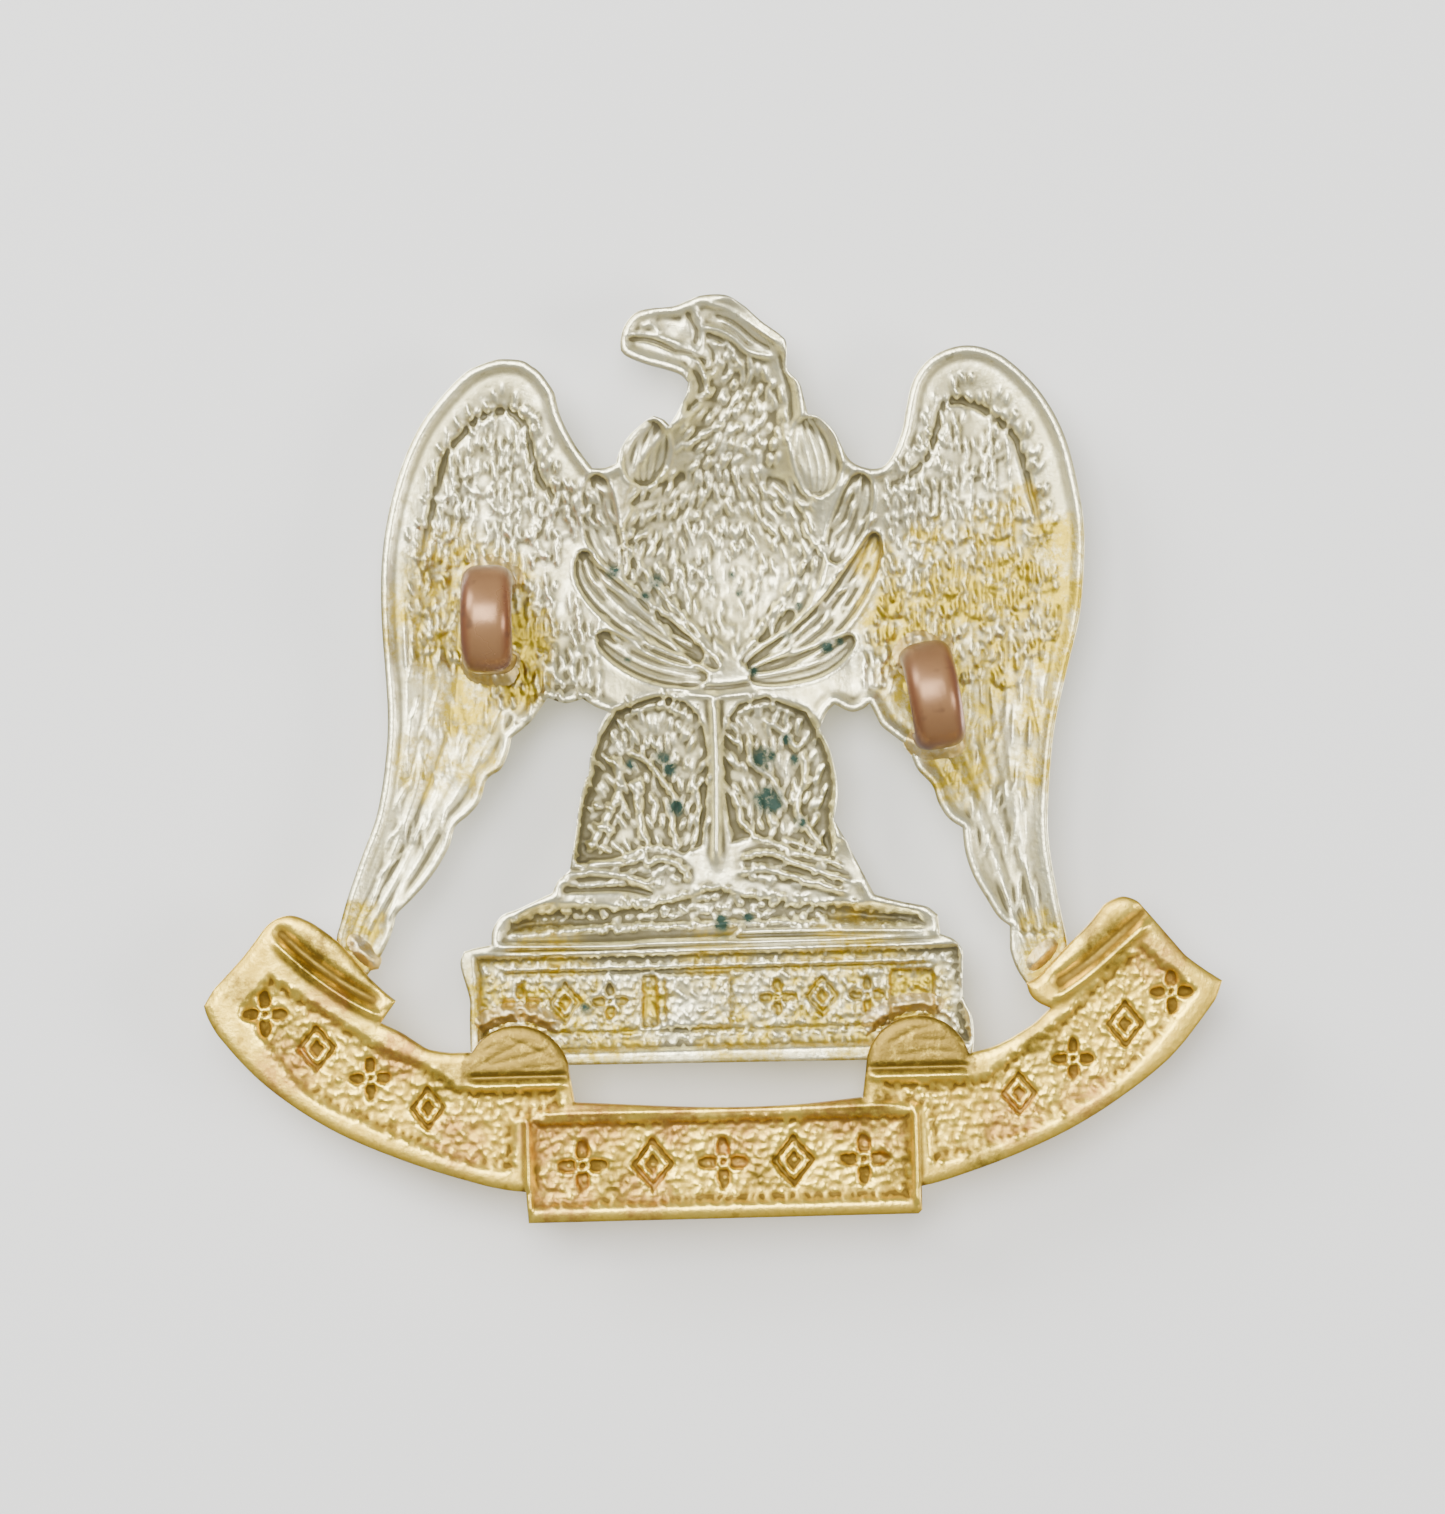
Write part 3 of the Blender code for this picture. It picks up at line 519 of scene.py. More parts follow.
def rosette(at, middle, size):
    """Height of a rosette with four petals round a pellet, on a field of its own."""
    off = (at - middle) / size
    away = np.hypot(off[:, 0], off[:, 1])
    turn = np.arctan2(off[:, 1], off[:, 0])
    petals = ease((0.62 + 0.3 * np.cos(4 * turn) - away) / 0.25) * ease((away - 0.16) / 0.14)
    return petals + ease((0.16 - away) / 0.1)


def lozenge(at, middle, size):
    """Height of a lozenge with a cut border."""
    off = np.abs(at - middle) / size
    inward = 1 - off[:, 0] / 0.8 - off[:, 1]
    return ease(inward / 0.16) - 0.75 * ease((inward - 0.26) / 0.12) + 0.9 * ease((inward - 0.55) / 0.2)


ORNAMENT_LINE = 11.35
TABLET_ORNAMENTS = [
    (-10.2, rosette), (-7.9, lozenge), (-5.6, rosette), (3.0, rosette), (5.3, lozenge), (7.6, rosette),
]
BLOCK_HEIGHTS = (9.9, 12.7)
BLOCKS = [
    # left, right, depth: two sunk oblongs and a raised one between them
    (-4.0, -3.1, 0.30), (-2.8, 0.6, -0.25), (8.7, 11.1, 0.30),
]

from_eagle_edge = distance_to(EAGLE_RING)
BORDER = 0.26
TABLET_TOP = 14.2


def eagle_sink(at):
    """How far the back of the eagle is sunk below its rim at each point, in millimetres."""
    at = np.asarray(at, dtype=float)
    rim = from_eagle_edge(at)
    # flat border with a step and then a slow fall inside it, everywhere above the tablet
    above_tablet = ease((at[:, 1] - TABLET_TOP) / 0.4)
    sink = (0.24 * ease((rim - BORDER) / 0.50) + 0.66 * ease((rim - 0.8) / 3.0)) * above_tablet
    sink -= 0.04 * np.exp(-((rim - BORDER) / 0.12) ** 2) * above_tablet
    # breast, head, neck and beak
    bowl(sink, at, (0.6, 33.6), (6.6, 7.2), 1.5)
    hollow(sink, at, BODY_RING, 1.25, 1.3)
    bowl(sink, at, (1.7, 45.2), (2.5, 2.0), 0.60)
    bowl(sink, at, (1.9, 41.2), (3.0, 5.0), 1.6)
    bowl(sink, at, (0.7, 34.4), (5.5, 7.0), 2.8)
    hollow(sink, at, BEAK_RING, 0.34, 0.9)
    # feet, legs, mound and tablet
    bowl(sink, at, (-4.6, 17.9), (3.8, 1.5), 0.75)
    bowl(sink, at, (4.2, 18.1), (3.8, 1.6), 0.75)
    hollow(sink, at, LEFT_LEG_RING, 1.25, 0.50)
    hollow(sink, at, RIGHT_LEG_RING, 1.25, 0.50)
    bowl(sink, at, (-3.2, 22.6), (3.2, 4.4), 1.45)
    bowl(sink, at, (3.3, 22.6), (2.8, 4.3), 1.45)
    hollow(sink, at, MOUND_RING, 1.25, 1.0)
    hollow(sink, at, FIELD_RING, 0.55, 0.45)
    for outer, inner in (LEFT_QUILLS, RIGHT_QUILLS):
        for number in range(1, QUILLS_ACROSS):
            quill = fair(between(outer, inner, number / QUILLS_ACROSS), 0.8, closed=False)
            score(sink, at, quill, 0.13, -0.06 if number % 2 else 0.06)
    for spine, half_width, depth, ribs in LEAVES:
        leaf(sink, at, spine, half_width, depth, ribs)
    for line, width, depth in SCORES:
        score(sink, at, fair(line, 0.4, closed=False), width, depth)
    # each plume ends in a fine groove with a lip above it
    for tip in left_tips + right_tips:
        score(sink, at, tip, 0.12, 0.04)
        score(sink, at, tip + (0, 0.22), 0.14, -0.03)
    for x, shape in TABLET_ORNAMENTS:
        some = near(at, [(x, ORNAMENT_LINE)], 1.2)
        sink[some] += 0.30 * shape(at[some], (x, ORNAMENT_LINE), 1.15)
    low, high = BLOCK_HEIGHTS
    for left, right, depth in BLOCKS:
        block = np.array([(left, low), (left, high), (right, high), (right, low)])
        press(sink, at, block, depth, 0.15)
    strike(sink, at, feather_marks)
    return sink


def relaxed(values, links, times):
    """Values evened out between linked points a number of times."""
    a, b = links[:, 0], links[:, 1]
    shares = np.bincount(a, minlength=len(values)) + np.bincount(b, minlength=len(values))
    for _ in range(times):
        total = np.bincount(a, values[b], len(values)) + np.bincount(b, values[a], len(values))
        values = 0.4 * values + 0.6 * total / shares
    return values


def inward_normals(ring):
    """Unit vectors that point into a closed ring from each of its points."""
    tangent = np.roll(ring, -1, axis=0) - np.roll(ring, 1, axis=0)
    tangent /= np.linalg.norm(tangent, axis=1)[:, None]
    area = (ring[:, 0] * np.roll(ring[:, 1], -1) - np.roll(ring[:, 0], -1) * ring[:, 1]).sum()
    return np.column_stack([-tangent[:, 1], tangent[:, 0]]) * math.copysign(1, area)


FIRST_ROW = 0.05
SECOND_ROW = 0.12
GRID_START = 0.20


def fill(ring, pitch):
    """Points and triangles that fill a ring. The ring's own points come first.

    Two rows of points follow the ring, so that its rounded edge is smooth, and a grid fills the rest.
    """
    from_ring = distance_to(ring)
    low, high = ring.min(axis=0), ring.max(axis=0)
    grid = np.array([(x + (i % 2) * pitch / 2, up)
                     for i, up in enumerate(np.arange(low[1], high[1], pitch * math.sqrt(3) / 2))
                     for x in np.arange(low[0], high[0], pitch)])
    grid = grid[inside(grid, ring)]
    grid = grid[from_ring(grid) > GRID_START]
    rows = []
    for reach, every in ((FIRST_ROW, 1), (SECOND_ROW, 2)):
        row = ring + reach * inward_normals(ring)
        rows.append(row[from_ring(row) > 0.94 * reach][::every])
    points = np.vstack([ring, *rows, grid])
    edges = [(i, (i + 1) % len(ring)) for i in range(len(ring))]
    made = delaunay_2d_cdt([Vector(p) for p in points], edges, [list(range(len(ring)))], 1, 1e-6)
    found = {first: i for i, firsts in enumerate(made[3]) for first in firsts}
    order = [found[i] for i in range(len(ring))]
    order += sorted(set(range(len(made[0]))) - set(order))
    place = np.empty(len(order), dtype=int)
    place[order] = np.arange(len(order))
    filled = np.array([tuple(made[0][i]) for i in order])
    return filled, place[np.array([list(face) for face in made[2]])]


EDGE_ROUND = 0.14


def add_piece(name, corners, faces, marks, metal):
    """Smooth object of one metal. marks are the named numbers that it keeps at its corners."""
    mesh = bpy.data.meshes.new(name)
    mesh.from_pydata(corners, [], faces)
    for key, numbers in marks.items():
        layer = mesh.attributes.new(key, "FLOAT", "POINT")
        layer.data.foreach_set("value", np.asarray(numbers, dtype=np.float32))
    tidy = bmesh.new()
    tidy.from_mesh(mesh)
    bmesh.ops.recalc_face_normals(tidy, faces=tidy.faces)
    tidy.to_mesh(mesh)
    tidy.free()
    mesh.shade_smooth()
    mesh.materials.append(metal)
    made = bpy.data.objects.new(name, mesh)
    bpy.context.scene.collection.objects.link(made)
    return made


def struck_sheet(name, ring, pitches, rear, back_of, thickness, marks_of, metal):
    """Thin closed sheet with the same relief on both sides and a rounded edge.

    pitches are the spacings of the points on its back and on its face. back_of gives how far each
    point of the back is sunk in front of the rearmost plane. marks_of gives the strength of each named
    stain; the face is kept clean, so only the back is stained. Each point also keeps how far it
    stands out from those round it, as "raised".
    """
    from_ring = distance_to(ring)
    corners, faces, marks, first_of_side = [], [], {"raised": []}, []
    for side, pitch in zip((-1, 1), pitches):
        points, triangles = fill(ring, pitch)
        sides = np.vstack([triangles[:, [0, 1]], triangles[:, [1, 2]], triangles[:, [2, 0]]])
        links = np.unique(np.sort(sides, axis=1), axis=0)
        depth = relaxed(back_of(points), links, 1)
        marks["raised"].append(side * (depth - relaxed(depth, links, 10)))
        for key, strength in marks_of(points).items():
            marks.setdefault(key, []).append(strength * (side < 0))
        into_round = np.clip(EDGE_ROUND - from_ring(points), 0, EDGE_ROUND)
        rounding = EDGE_ROUND - np.sqrt(EDGE_ROUND ** 2 - into_round ** 2)
        y = rear + depth + (thickness if side > 0 else 0) - side * rounding
        first_of_side.append(len(corners))
        faces += (triangles[:, ::-1 if side < 0 else 1] + len(corners)).tolist()
        corners += [(x * MM, v * MM, (up + BASE_LINE) * MM) for (x, up), v in zip(points, y)]
    back, front = first_of_side
    for i in range(len(ring)):
        j = (i + 1) % len(ring)
        faces.append((back + i, back + j, front + j, front + i))
    marks = {key: np.concatenate(parts) for key, parts in marks.items()}
    return add_piece(name, corners, faces, marks, metal)


def blots(at, places):
    """Strength at each point of a stain made of round blots."""
    strength = np.zeros(len(at))
    for x, up, reach, most in places:
        apart = np.hypot(at[:, 0] - x, at[:, 1] - up)
        np.maximum(strength, most * ease(1.35 * (1 - apart / reach)), out=strength)
    return strength


FLUX_BLOTS = [
    # across, up, reach, strength
    (-11.6, 29.0, 3.6, 0.80), (-9.6, 30.2, 2.4, 1.0), (-9.9, 28.0, 2.2, 1.0), (-12.6, 26.6, 2.8, 0.75),
    (-13.2, 33.4, 3.4, 0.55), (-15.4, 31.0, 3.0, 0.50), (-18.8, 13.9, 2.1, 1.0),
    (-18.3, 15.6, 1.8, 0.8), (-14.0, 29.6, 2.6, 0.6), (-14.8, 23.6, 2.6, 0.35), (-12.0, 23.4, 2.0, 0.4),
    (-10.4, 33.0, 2.4, 0.5), (11.2, 27.2, 3.6, 1.0), (9.6, 30.6, 2.8, 0.95), (12.8, 31.6, 3.2, 0.90),
    (15.6, 32.2, 3.0, 1.0), (17.9, 34.4, 2.0, 0.95), (18.0, 31.6, 2.4, 1.0), (17.6, 28.8, 2.4, 0.95),
    (12.6, 23.0, 2.9, 0.8), (16.9, 25.6, 2.2, 0.75), (16.6, 22.6, 2.0, 0.6), (14.8, 28.0, 2.8, 0.75),
    (16.2, 36.0, 2.0, 0.45), (8.8, 33.4, 1.8, 0.5), (11.4, 34.6, 1.8, 0.55), (14.6, 34.8, 2.2, 0.65),
    (13.6, 25.2, 2.2, 0.6), (16.9, 12.9, 2.1, 1.0), (16.6, 14.6, 1.6, 0.6), (-3.5, 11.3, 1.6, 1.0),
    (9.9, 11.2, 2.6, 0.95), (-8.6, 11.3, 3.8, 0.70), (4.6, 11.2, 3.6, 0.60), (-11.6, 11.5, 3.0, 0.60),
    (-5.6, 9.6, 3.4, 0.55), (1.0, 9.2, 3.4, 0.50), (6.8, 9.6, 3.2, 0.60), (-9.0, 13.4, 3.0, 0.40),
    (7.0, 13.4, 3.4, 0.40), (0.0, 13.2, 3.0, 0.30),
]
GREEN_BLOTS = [
    (2.6, 23.6, 0.85, 1.0), (2.8, 21.5, 1.0, 1.0), (3.8, 24.6, 0.4, 0.9), (4.2, 23.5, 0.4, 0.8),
    (4.4, 20.3, 0.45, 0.9), (-2.6, 23.8, 0.55, 0.9), (-2.2, 23.2, 0.5, 1.0), (-2.0, 21.2, 0.6, 1.0),
    (-4.25, 23.45, 0.4, 1.0), (-4.9, 33.4, 0.5, 1.0), (-2.7, 32.9, 0.5, 1.0), (-3.3, 32.1, 0.35, 0.9),
    (6.0, 29.3, 0.5, 0.9), (6.6, 29.5, 0.35, 0.8), (2.2, 28.1, 0.35, 1.0), (4.0, 29.9, 0.35, 0.8),
    (0.2, 15.2, 0.6, 1.0), (1.6, 15.4, 0.4, 0.8), (-6.9, 11.0, 0.4, 0.8), (-4.25, 28.9, 0.3, 0.8),
    (0.1, 33.0, 0.25, 0.7), (1.2, 33.1, 0.3, 0.8), (1.6, 32.2, 0.3, 0.8), (4.6, 31.4, 0.3, 0.7),
]


def eagle_marks(at):
    """Stains of the eagle: flux round what was soldered, and green in the pits."""
    return {"flux": blots(at, FLUX_BLOTS), "green": blots(at, GREEN_BLOTS)}


def group(name, inputs, outputs):
    """Empty shader group with named sockets, and its two end nodes."""
    tree = bpy.data.node_groups.new(name, "ShaderNodeTree")
    for word, kind, value in inputs:
        socket = tree.interface.new_socket(word, in_out="INPUT", socket_type=kind)
        socket.default_value = value
    for word, kind in outputs:
        tree.interface.new_socket(word, in_out="OUTPUT", socket_type=kind)
    return tree, tree.nodes.new("NodeGroupInput"), tree.nodes.new("NodeGroupOutput")


def put(tree, kind, settings=(), **wired):
    """Adds a node. Settings name its properties. The rest are its inputs, each a value or an output.

    An input goes by its name, or by its number as i0, i1 and so on.
    """
    made = tree.nodes.new(kind)
    for word, value in dict(settings).items():
        setattr(made, word, value)
    for word, value in wired.items():
        socket = made.inputs[int(word[1:])] if word[1:].isdigit() else made.inputs[word]
        if isinstance(value, bpy.types.NodeSocket):
            tree.links.new(value, socket)
        else:
            socket.default_value = value
    return made


def reckon(tree, operation, *values, clamp=True):
    """Sum on up to three values, kept from 0 to 1 unless clamp is off."""
    wired = {f"i{number}": value for number, value in enumerate(values)}
    return put(tree, "ShaderNodeMath", {"operation": operation, "use_clamp": clamp}, **wired).outputs[0]


def spread(tree, value, low, high):
    """Value stretched so that low becomes 0 and high becomes 1."""
    ends = {"From Min": low, "From Max": high}
    return put(tree, "ShaderNodeMapRange", {"clamp": True}, Value=value, **ends).outputs[0]


def blend_values(tree, share, under, over):
    """Value over another value by a share."""
    return put(tree, "ShaderNodeMix", {"data_type": "FLOAT"}, i0=share, i2=under, i3=over).outputs[0]


def blend_colours(tree, share, under, over):
    """Colour over another colour by a share."""
    full = [value if isinstance(value, bpy.types.NodeSocket) else (*value, 1.0) for value in (under, over)]
    return put(tree, "ShaderNodeMix", {"data_type": "RGBA"}, i0=share, i6=full[0], i7=full[1]).outputs[2]


def noise(tree, place, scale, detail=4.0, roughness=0.6):
    """Even cloud of noise over a place."""
    made = put(tree, "ShaderNodeTexNoise", Vector=place, Scale=scale, Detail=detail, Roughness=roughness)
    return made.outputs[0]


def kept_at_corners(tree, name):
    """Number that a mesh keeps at its corners under a name."""
    return put(tree, "ShaderNodeAttribute", {"attribute_name": name}).outputs["Fac"]


# Grain of struck metal: the die's tooling, pores and fine scratches, as one height. Cloud and Mottle
# are large and small patches, and Speck is small dark spots. Scales are counts to the metre.
PORE_SCALE = 4200.0
TOOLING_SCALE = 2600.0
STREAK_SCALE = 3000.0
CLOUD_SCALE = 260.0
MOTTLE_SCALE = 1500.0
grain_group, grain_in, grain_out = group(
    "struck_grain",
    [("Pore size", "NodeSocketFloat", 1.0)],
    [("Height", "NodeSocketFloat"), ("Cloud", "NodeSocketFloat"), ("Mottle", "NodeSocketFloat"),
     ("Speck", "NodeSocketFloat")])
place = put(grain_group, "ShaderNodeTexCoord").outputs["Object"]
sized = put(grain_group, "ShaderNodeVectorMath", {"operation": "SCALE"}, i0=place,
            Scale=grain_in.outputs["Pore size"]).outputs[0]
pores = noise(grain_group, sized, PORE_SCALE, 3.0, 0.65)
tooling = put(grain_group, "ShaderNodeTexVoronoi", {"feature": "SMOOTH_F1"}, Vector=sized,
              Scale=TOOLING_SCALE).outputs[0]
drawn_out = put(grain_group, "ShaderNodeVectorMath", {"operation": "MULTIPLY"}, i0=sized,
                i1=(1.0, 1.0, 0.3)).outputs[0]
streaks = noise(grain_group, drawn_out, STREAK_SCALE, 2.0)
height = reckon(grain_group, "MULTIPLY_ADD", tooling, 0.6, pores, clamp=False)
height = reckon(grain_group, "MULTIPLY_ADD", streaks, 0.8, height, clamp=False)
specks = spread(grain_group, noise(grain_group, sized, MOTTLE_SCALE, 2.0), 0.62, 0.70)
grain_group.links.new(height, grain_out.inputs["Height"])
grain_group.links.new(noise(grain_group, sized, CLOUD_SCALE, 5.0), grain_out.inputs["Cloud"])
grain_group.links.new(noise(grain_group, sized, MOTTLE_SCALE, 5.0, 0.7), grain_out.inputs["Mottle"])
grain_group.links.new(specks, grain_out.inputs["Speck"])

# Patina and painted shade: bright worn high places, a film in the flats, and a dark colour in the
# crevices that is partly dirt and partly painted shade. Raised is how far a place stands out from
# those round it, in millimetres.
WORN_FROM, WORN_TO = 0.004, 0.04
CREVICE_FROM, CREVICE_TO = -0.006, -0.05
patina_and_shade_group, patina_and_shade_in, patina_and_shade_out = group(
    "patina_and_shade",
    [("Bright", "NodeSocketColor", (0.8, 0.8, 0.8, 1)), ("Film", "NodeSocketColor", (0.6, 0.6, 0.5, 1)),
     ("Dirt", "NodeSocketColor", (0.1, 0.1, 0.08, 1)), ("Raised", "NodeSocketFloat", 0.0),
     ("Cloud", "NodeSocketFloat", 0.5), ("Mottle", "NodeSocketFloat", 0.5),
     ("Speck", "NodeSocketFloat", 0.0)],
    [("Color", "NodeSocketColor"), ("Roughness", "NodeSocketFloat")])
worn = spread(patina_and_shade_group, patina_and_shade_in.outputs["Raised"], WORN_FROM, WORN_TO)
# The crevice share darkens the hollows of the relief: partly dirt, partly painted shade.
crevice_dirt_and_shade = spread(patina_and_shade_group, patina_and_shade_in.outputs["Raised"], CREVICE_FROM, CREVICE_TO)
patches = reckon(patina_and_shade_group, "ADD", patina_and_shade_in.outputs["Cloud"], patina_and_shade_in.outputs["Mottle"], clamp=False)
filmed = reckon(patina_and_shade_group, "SUBTRACT", spread(patina_and_shade_group, patches, 0.78, 1.08), worn)
film_colour = blend_colours(patina_and_shade_group, filmed, patina_and_shade_in.outputs["Bright"], patina_and_shade_in.outputs["Film"])
speckled = reckon(patina_and_shade_group, "MULTIPLY", patina_and_shade_in.outputs["Speck"], 0.35)
# Painted shade and dirt in the crevices, with the dark specks, take the dark colour.
dark_share = reckon(patina_and_shade_group, "MAXIMUM", reckon(patina_and_shade_group, "MULTIPLY", crevice_dirt_and_shade, 0.85), speckled)
patina_and_shade_colour = blend_colours(patina_and_shade_group, dark_share, film_colour, patina_and_shade_in.outputs["Dirt"])
dulled = reckon(patina_and_shade_group, "MULTIPLY_ADD", filmed, 0.16, 0.30)
patina_rough = reckon(patina_and_shade_group, "MULTIPLY_ADD", crevice_dirt_and_shade, 0.3, dulled)
patina_and_shade_group.links.new(patina_and_shade_colour, patina_and_shade_out.inputs["Color"])
patina_and_shade_group.links.new(patina_rough, patina_and_shade_out.inputs["Roughness"])

MOTTLE_IN_STAIN = 3.5
STAIN_FROM, STAIN_TO = 1.42, 2.72


def struck_metal(name, bright, film, dirt, grain_depth, stains):
    """Struck sheet metal with its grain, its patina and painted shade in its crevices.

    Each stain is the mark that places it, its colour, its roughness and how metallic it is. It takes
    hold first where the metal is mottled.
    """
    material = bpy.data.materials.new(name)
    material.use_nodes = True
    tree = material.node_tree
    shader = tree.nodes["Principled BSDF"]
    grain = put(tree, "ShaderNodeGroup", {"node_tree": grain_group})
    # The dark colour goes into the crevices: partly dirt, partly painted shade.
    patina_and_shade = put(tree, "ShaderNodeGroup", {"node_tree": patina_and_shade_group},
                 Bright=(*bright, 1.0), Film=(*film, 1.0), Dirt=(*dirt, 1.0),
                 Raised=kept_at_corners(tree, "raised"), Cloud=grain.outputs["Cloud"],
                 Mottle=grain.outputs["Mottle"], Speck=grain.outputs["Speck"])
    colour, rough, metal = patina_and_shade.outputs["Color"], patina_and_shade.outputs["Roughness"], None
    for mark, tint, dullness, metallic in stains:
        amount = kept_at_corners(tree, mark)
        broken = reckon(tree, "MULTIPLY_ADD", grain.outputs["Mottle"], MOTTLE_IN_STAIN, amount, clamp=False)
        share = reckon(tree, "MULTIPLY", spread(tree, broken, STAIN_FROM, STAIN_TO),
                       spread(tree, amount, 0.02, 0.25))
        colour = blend_colours(tree, share, colour, tint)
        rough = blend_values(tree, share, rough, dullness)
        if metallic < 1:
            metal = blend_values(tree, share, 1.0, metallic)
    tree.links.new(colour, shader.inputs["Base Color"])
    tree.links.new(rough, shader.inputs["Roughness"])
    if metal:
        tree.links.new(metal, shader.inputs["Metallic"])
    else:
        shader.inputs["Metallic"].default_value = 1.0
    bump = put(tree, "ShaderNodeBump", Height=grain.outputs["Height"], Distance=grain_depth * MM)
    tree.links.new(bump.outputs[0], shader.inputs["Normal"])
    return material


WHITE_METAL = (0.89, 0.84, 0.56)
WHITE_METAL_FILM = (0.67, 0.61, 0.35)
# Dark crevice colour of the white metal: partly dirt, partly painted shade.
WHITE_METAL_DIRT_AND_SHADE = (0.09, 0.075, 0.04)
FLUX_YELLOW = (0.44, 0.32, 0.030)
VERDIGRIS = (0.008, 0.034, 0.020)
EAGLE_GRAIN = 0.022
EAGLE_SHEET = 0.8
EAGLE_PITCHES = (0.105, 0.22)

white_metal = struck_metal("white_metal", WHITE_METAL, WHITE_METAL_FILM, WHITE_METAL_DIRT_AND_SHADE, EAGLE_GRAIN,
                           [("flux", FLUX_YELLOW, 0.42, 1.0), ("green", VERDIGRIS, 0.7, 0.1)])
eagle_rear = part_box("eagle")[0].y / MM
eagle = struck_sheet("eagle_stamping", EAGLE_RING, EAGLE_PITCHES, eagle_rear, eagle_sink,
                     EAGLE_SHEET, eagle_marks, white_metal)
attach(eagle, "root")
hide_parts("eagle")

# ---------------------------------------------------------------------------------------------
# Scroll. One sheet of gilding metal, struck as a ribbon in three folds with a flat half-round tab
# at each side of its panel. The tabs lie over the tablet and the curled ends over the wing tips.

SCROLL_RING = fair(outline_of("scroll"), EDGE_STEP)
PANEL_RING = np.array([(-9.85, 0.8), (-9.85, 5.5), (9.7, 5.5), (9.7, 0.8)])
LEFT_FIELD_RING = fair([
    (-24.6, 11.6), (-22.9, 13.4), (-20.1, 11.5), (-17.6, 9.8), (-14.6, 8.3), (-12.9, 7.3), (-8.3, 7.2),
    (-7.9, 5.9), (-10.4, 5.3), (-10.5, 2.6), (-13.3, 3.2), (-17.4, 4.9), (-21.6, 7.3),
], 0.5)
RIGHT_FIELD_RING = fair([
    (24.6, 11.3), (21.6, 13.9), (19.0, 11.8), (17.2, 10.0), (14.6, 8.2), (12.9, 7.2), (8.2, 7.2),
    (7.6, 5.9), (10.3, 5.4), (10.5, 2.5), (13.4, 3.3), (17.2, 4.8), (21.2, 7.3),
], 0.5)
TAB_MIDDLES = [(-10.4, 7.6), (10.1, 7.6)]
TAB_REACH = 2.7
LEFT_CURL = fair([(-22.6, 14.9), (-21.0, 13.4), (-19.0, 11.9), (-17.2, 10.9)], 0.3, closed=False)
RIGHT_CURL = fair([(22.0, 14.8), (20.6, 13.6), (18.8, 12.1), (17.0, 10.9)], 0.3, closed=False)
scroll_marks = np.vstack([
    scatter(seed, ring, 0.33, 0.19, 0.17, 0.11)
    for seed, ring in ((21, LEFT_FIELD_RING), (22, RIGHT_FIELD_RING), (23, PANEL_RING))
])
SCROLL_ORNAMENTS = [
    # middle, size, shape
    ((-23.2, 11.2), 1.45, rosette), ((-20.6, 9.4), 1.35, lozenge), ((-17.9, 7.8), 1.35, rosette),
    ((-15.0, 6.2), 1.25, lozenge), ((-7.2, 3.05), 1.60, rosette), ((-3.6, 3.05), 1.50, lozenge),
    ((0.0, 3.05), 1.60, rosette), ((3.6, 3.05), 1.50, lozenge), ((7.2, 3.05), 1.60, rosette),
    ((15.2, 6.2), 1.25, lozenge), ((18.0, 7.9), 1.35, rosette), ((20.7, 9.6), 1.35, lozenge),
    ((23.1, 11.2), 1.35, rosette),
]
TAB_SCRATCHES = [
    [(-12.6, 8.1), (-11.2, 8.9), (-9.9, 9.5)], [(-12.0, 8.3), (-10.4, 8.6), (-8.6, 9.1)],
    [(-11.0, 9.7), (-9.8, 9.2), (-8.4, 8.5)], [(-12.3, 8.9), (-11.4, 9.4)], [(-10.2, 8.1), (-8.4, 8.2)],
    [(8.6, 8.9), (9.9, 9.6), (11.0, 9.8)], [(9.0, 8.3), (10.8, 8.5), (12.0, 8.4)],
    [(10.0, 9.1), (11.6, 9.0)],
]
from_scroll_edge = distance_to(SCROLL_RING)


def level_line(middle, half, rise):
    """Line straight across, some way above or below a middle."""
    return [(middle[0] - half, middle[1] + rise), (middle[0] + half, middle[1] + rise)]


def scroll_sink(at):
    """How far the back of the scroll is sunk below its tabs at each point, in millimetres."""
    at = np.asarray(at, dtype=float)
    sink = np.zeros(len(at))
    press(sink, at, LEFT_FIELD_RING, 0.30, 0.55)
    press(sink, at, RIGHT_FIELD_RING, 0.30, 0.55)
    press(sink, at, PANEL_RING, 0.40, 0.50)
    for middle in TAB_MIDDLES:
        # the half-round tab is flat, with a groove and a fold where it leaves the ribbon
        away = np.hypot(*(at - middle).T)
        on_tab = ease((TAB_REACH + 0.1 - away) / 0.2) * ease((at[:, 1] - middle[1] + 0.25) / 0.2)
        sink *= 1 - on_tab
        score(sink, at, level_line(middle, 2.6, 0.1), 0.14, 0.18)
        score(sink, at, level_line(middle, 2.6, -0.35), 0.16, -0.20)
    for line in TAB_SCRATCHES:
        score(sink, at, line, 0.07, 0.035)
    for curl in (LEFT_CURL, RIGHT_CURL):
        score(sink, at, curl, 0.22, -0.30)
        score(sink, at, curl + (0, 0.75), 0.35, 0.28)
    score(sink, at, [(-9.95, 0.6), (-9.95, 5.8)], 0.14, -0.30)
    score(sink, at, [(9.85, 0.6), (9.85, 5.8)], 0.14, -0.30)
    score(sink, at, [(-9.6, 5.75), (9.4, 5.8)], 0.12, -0.12)
    for middle, size, shape in SCROLL_ORNAMENTS:
        some = near(at, [middle], size)
        sink[some] += 0.32 * shape(at[some], middle, size)
    strike(sink, at, scroll_marks)
    return sink + 0.10 * np.exp(-(from_scroll_edge(at) / 0.25) ** 2)


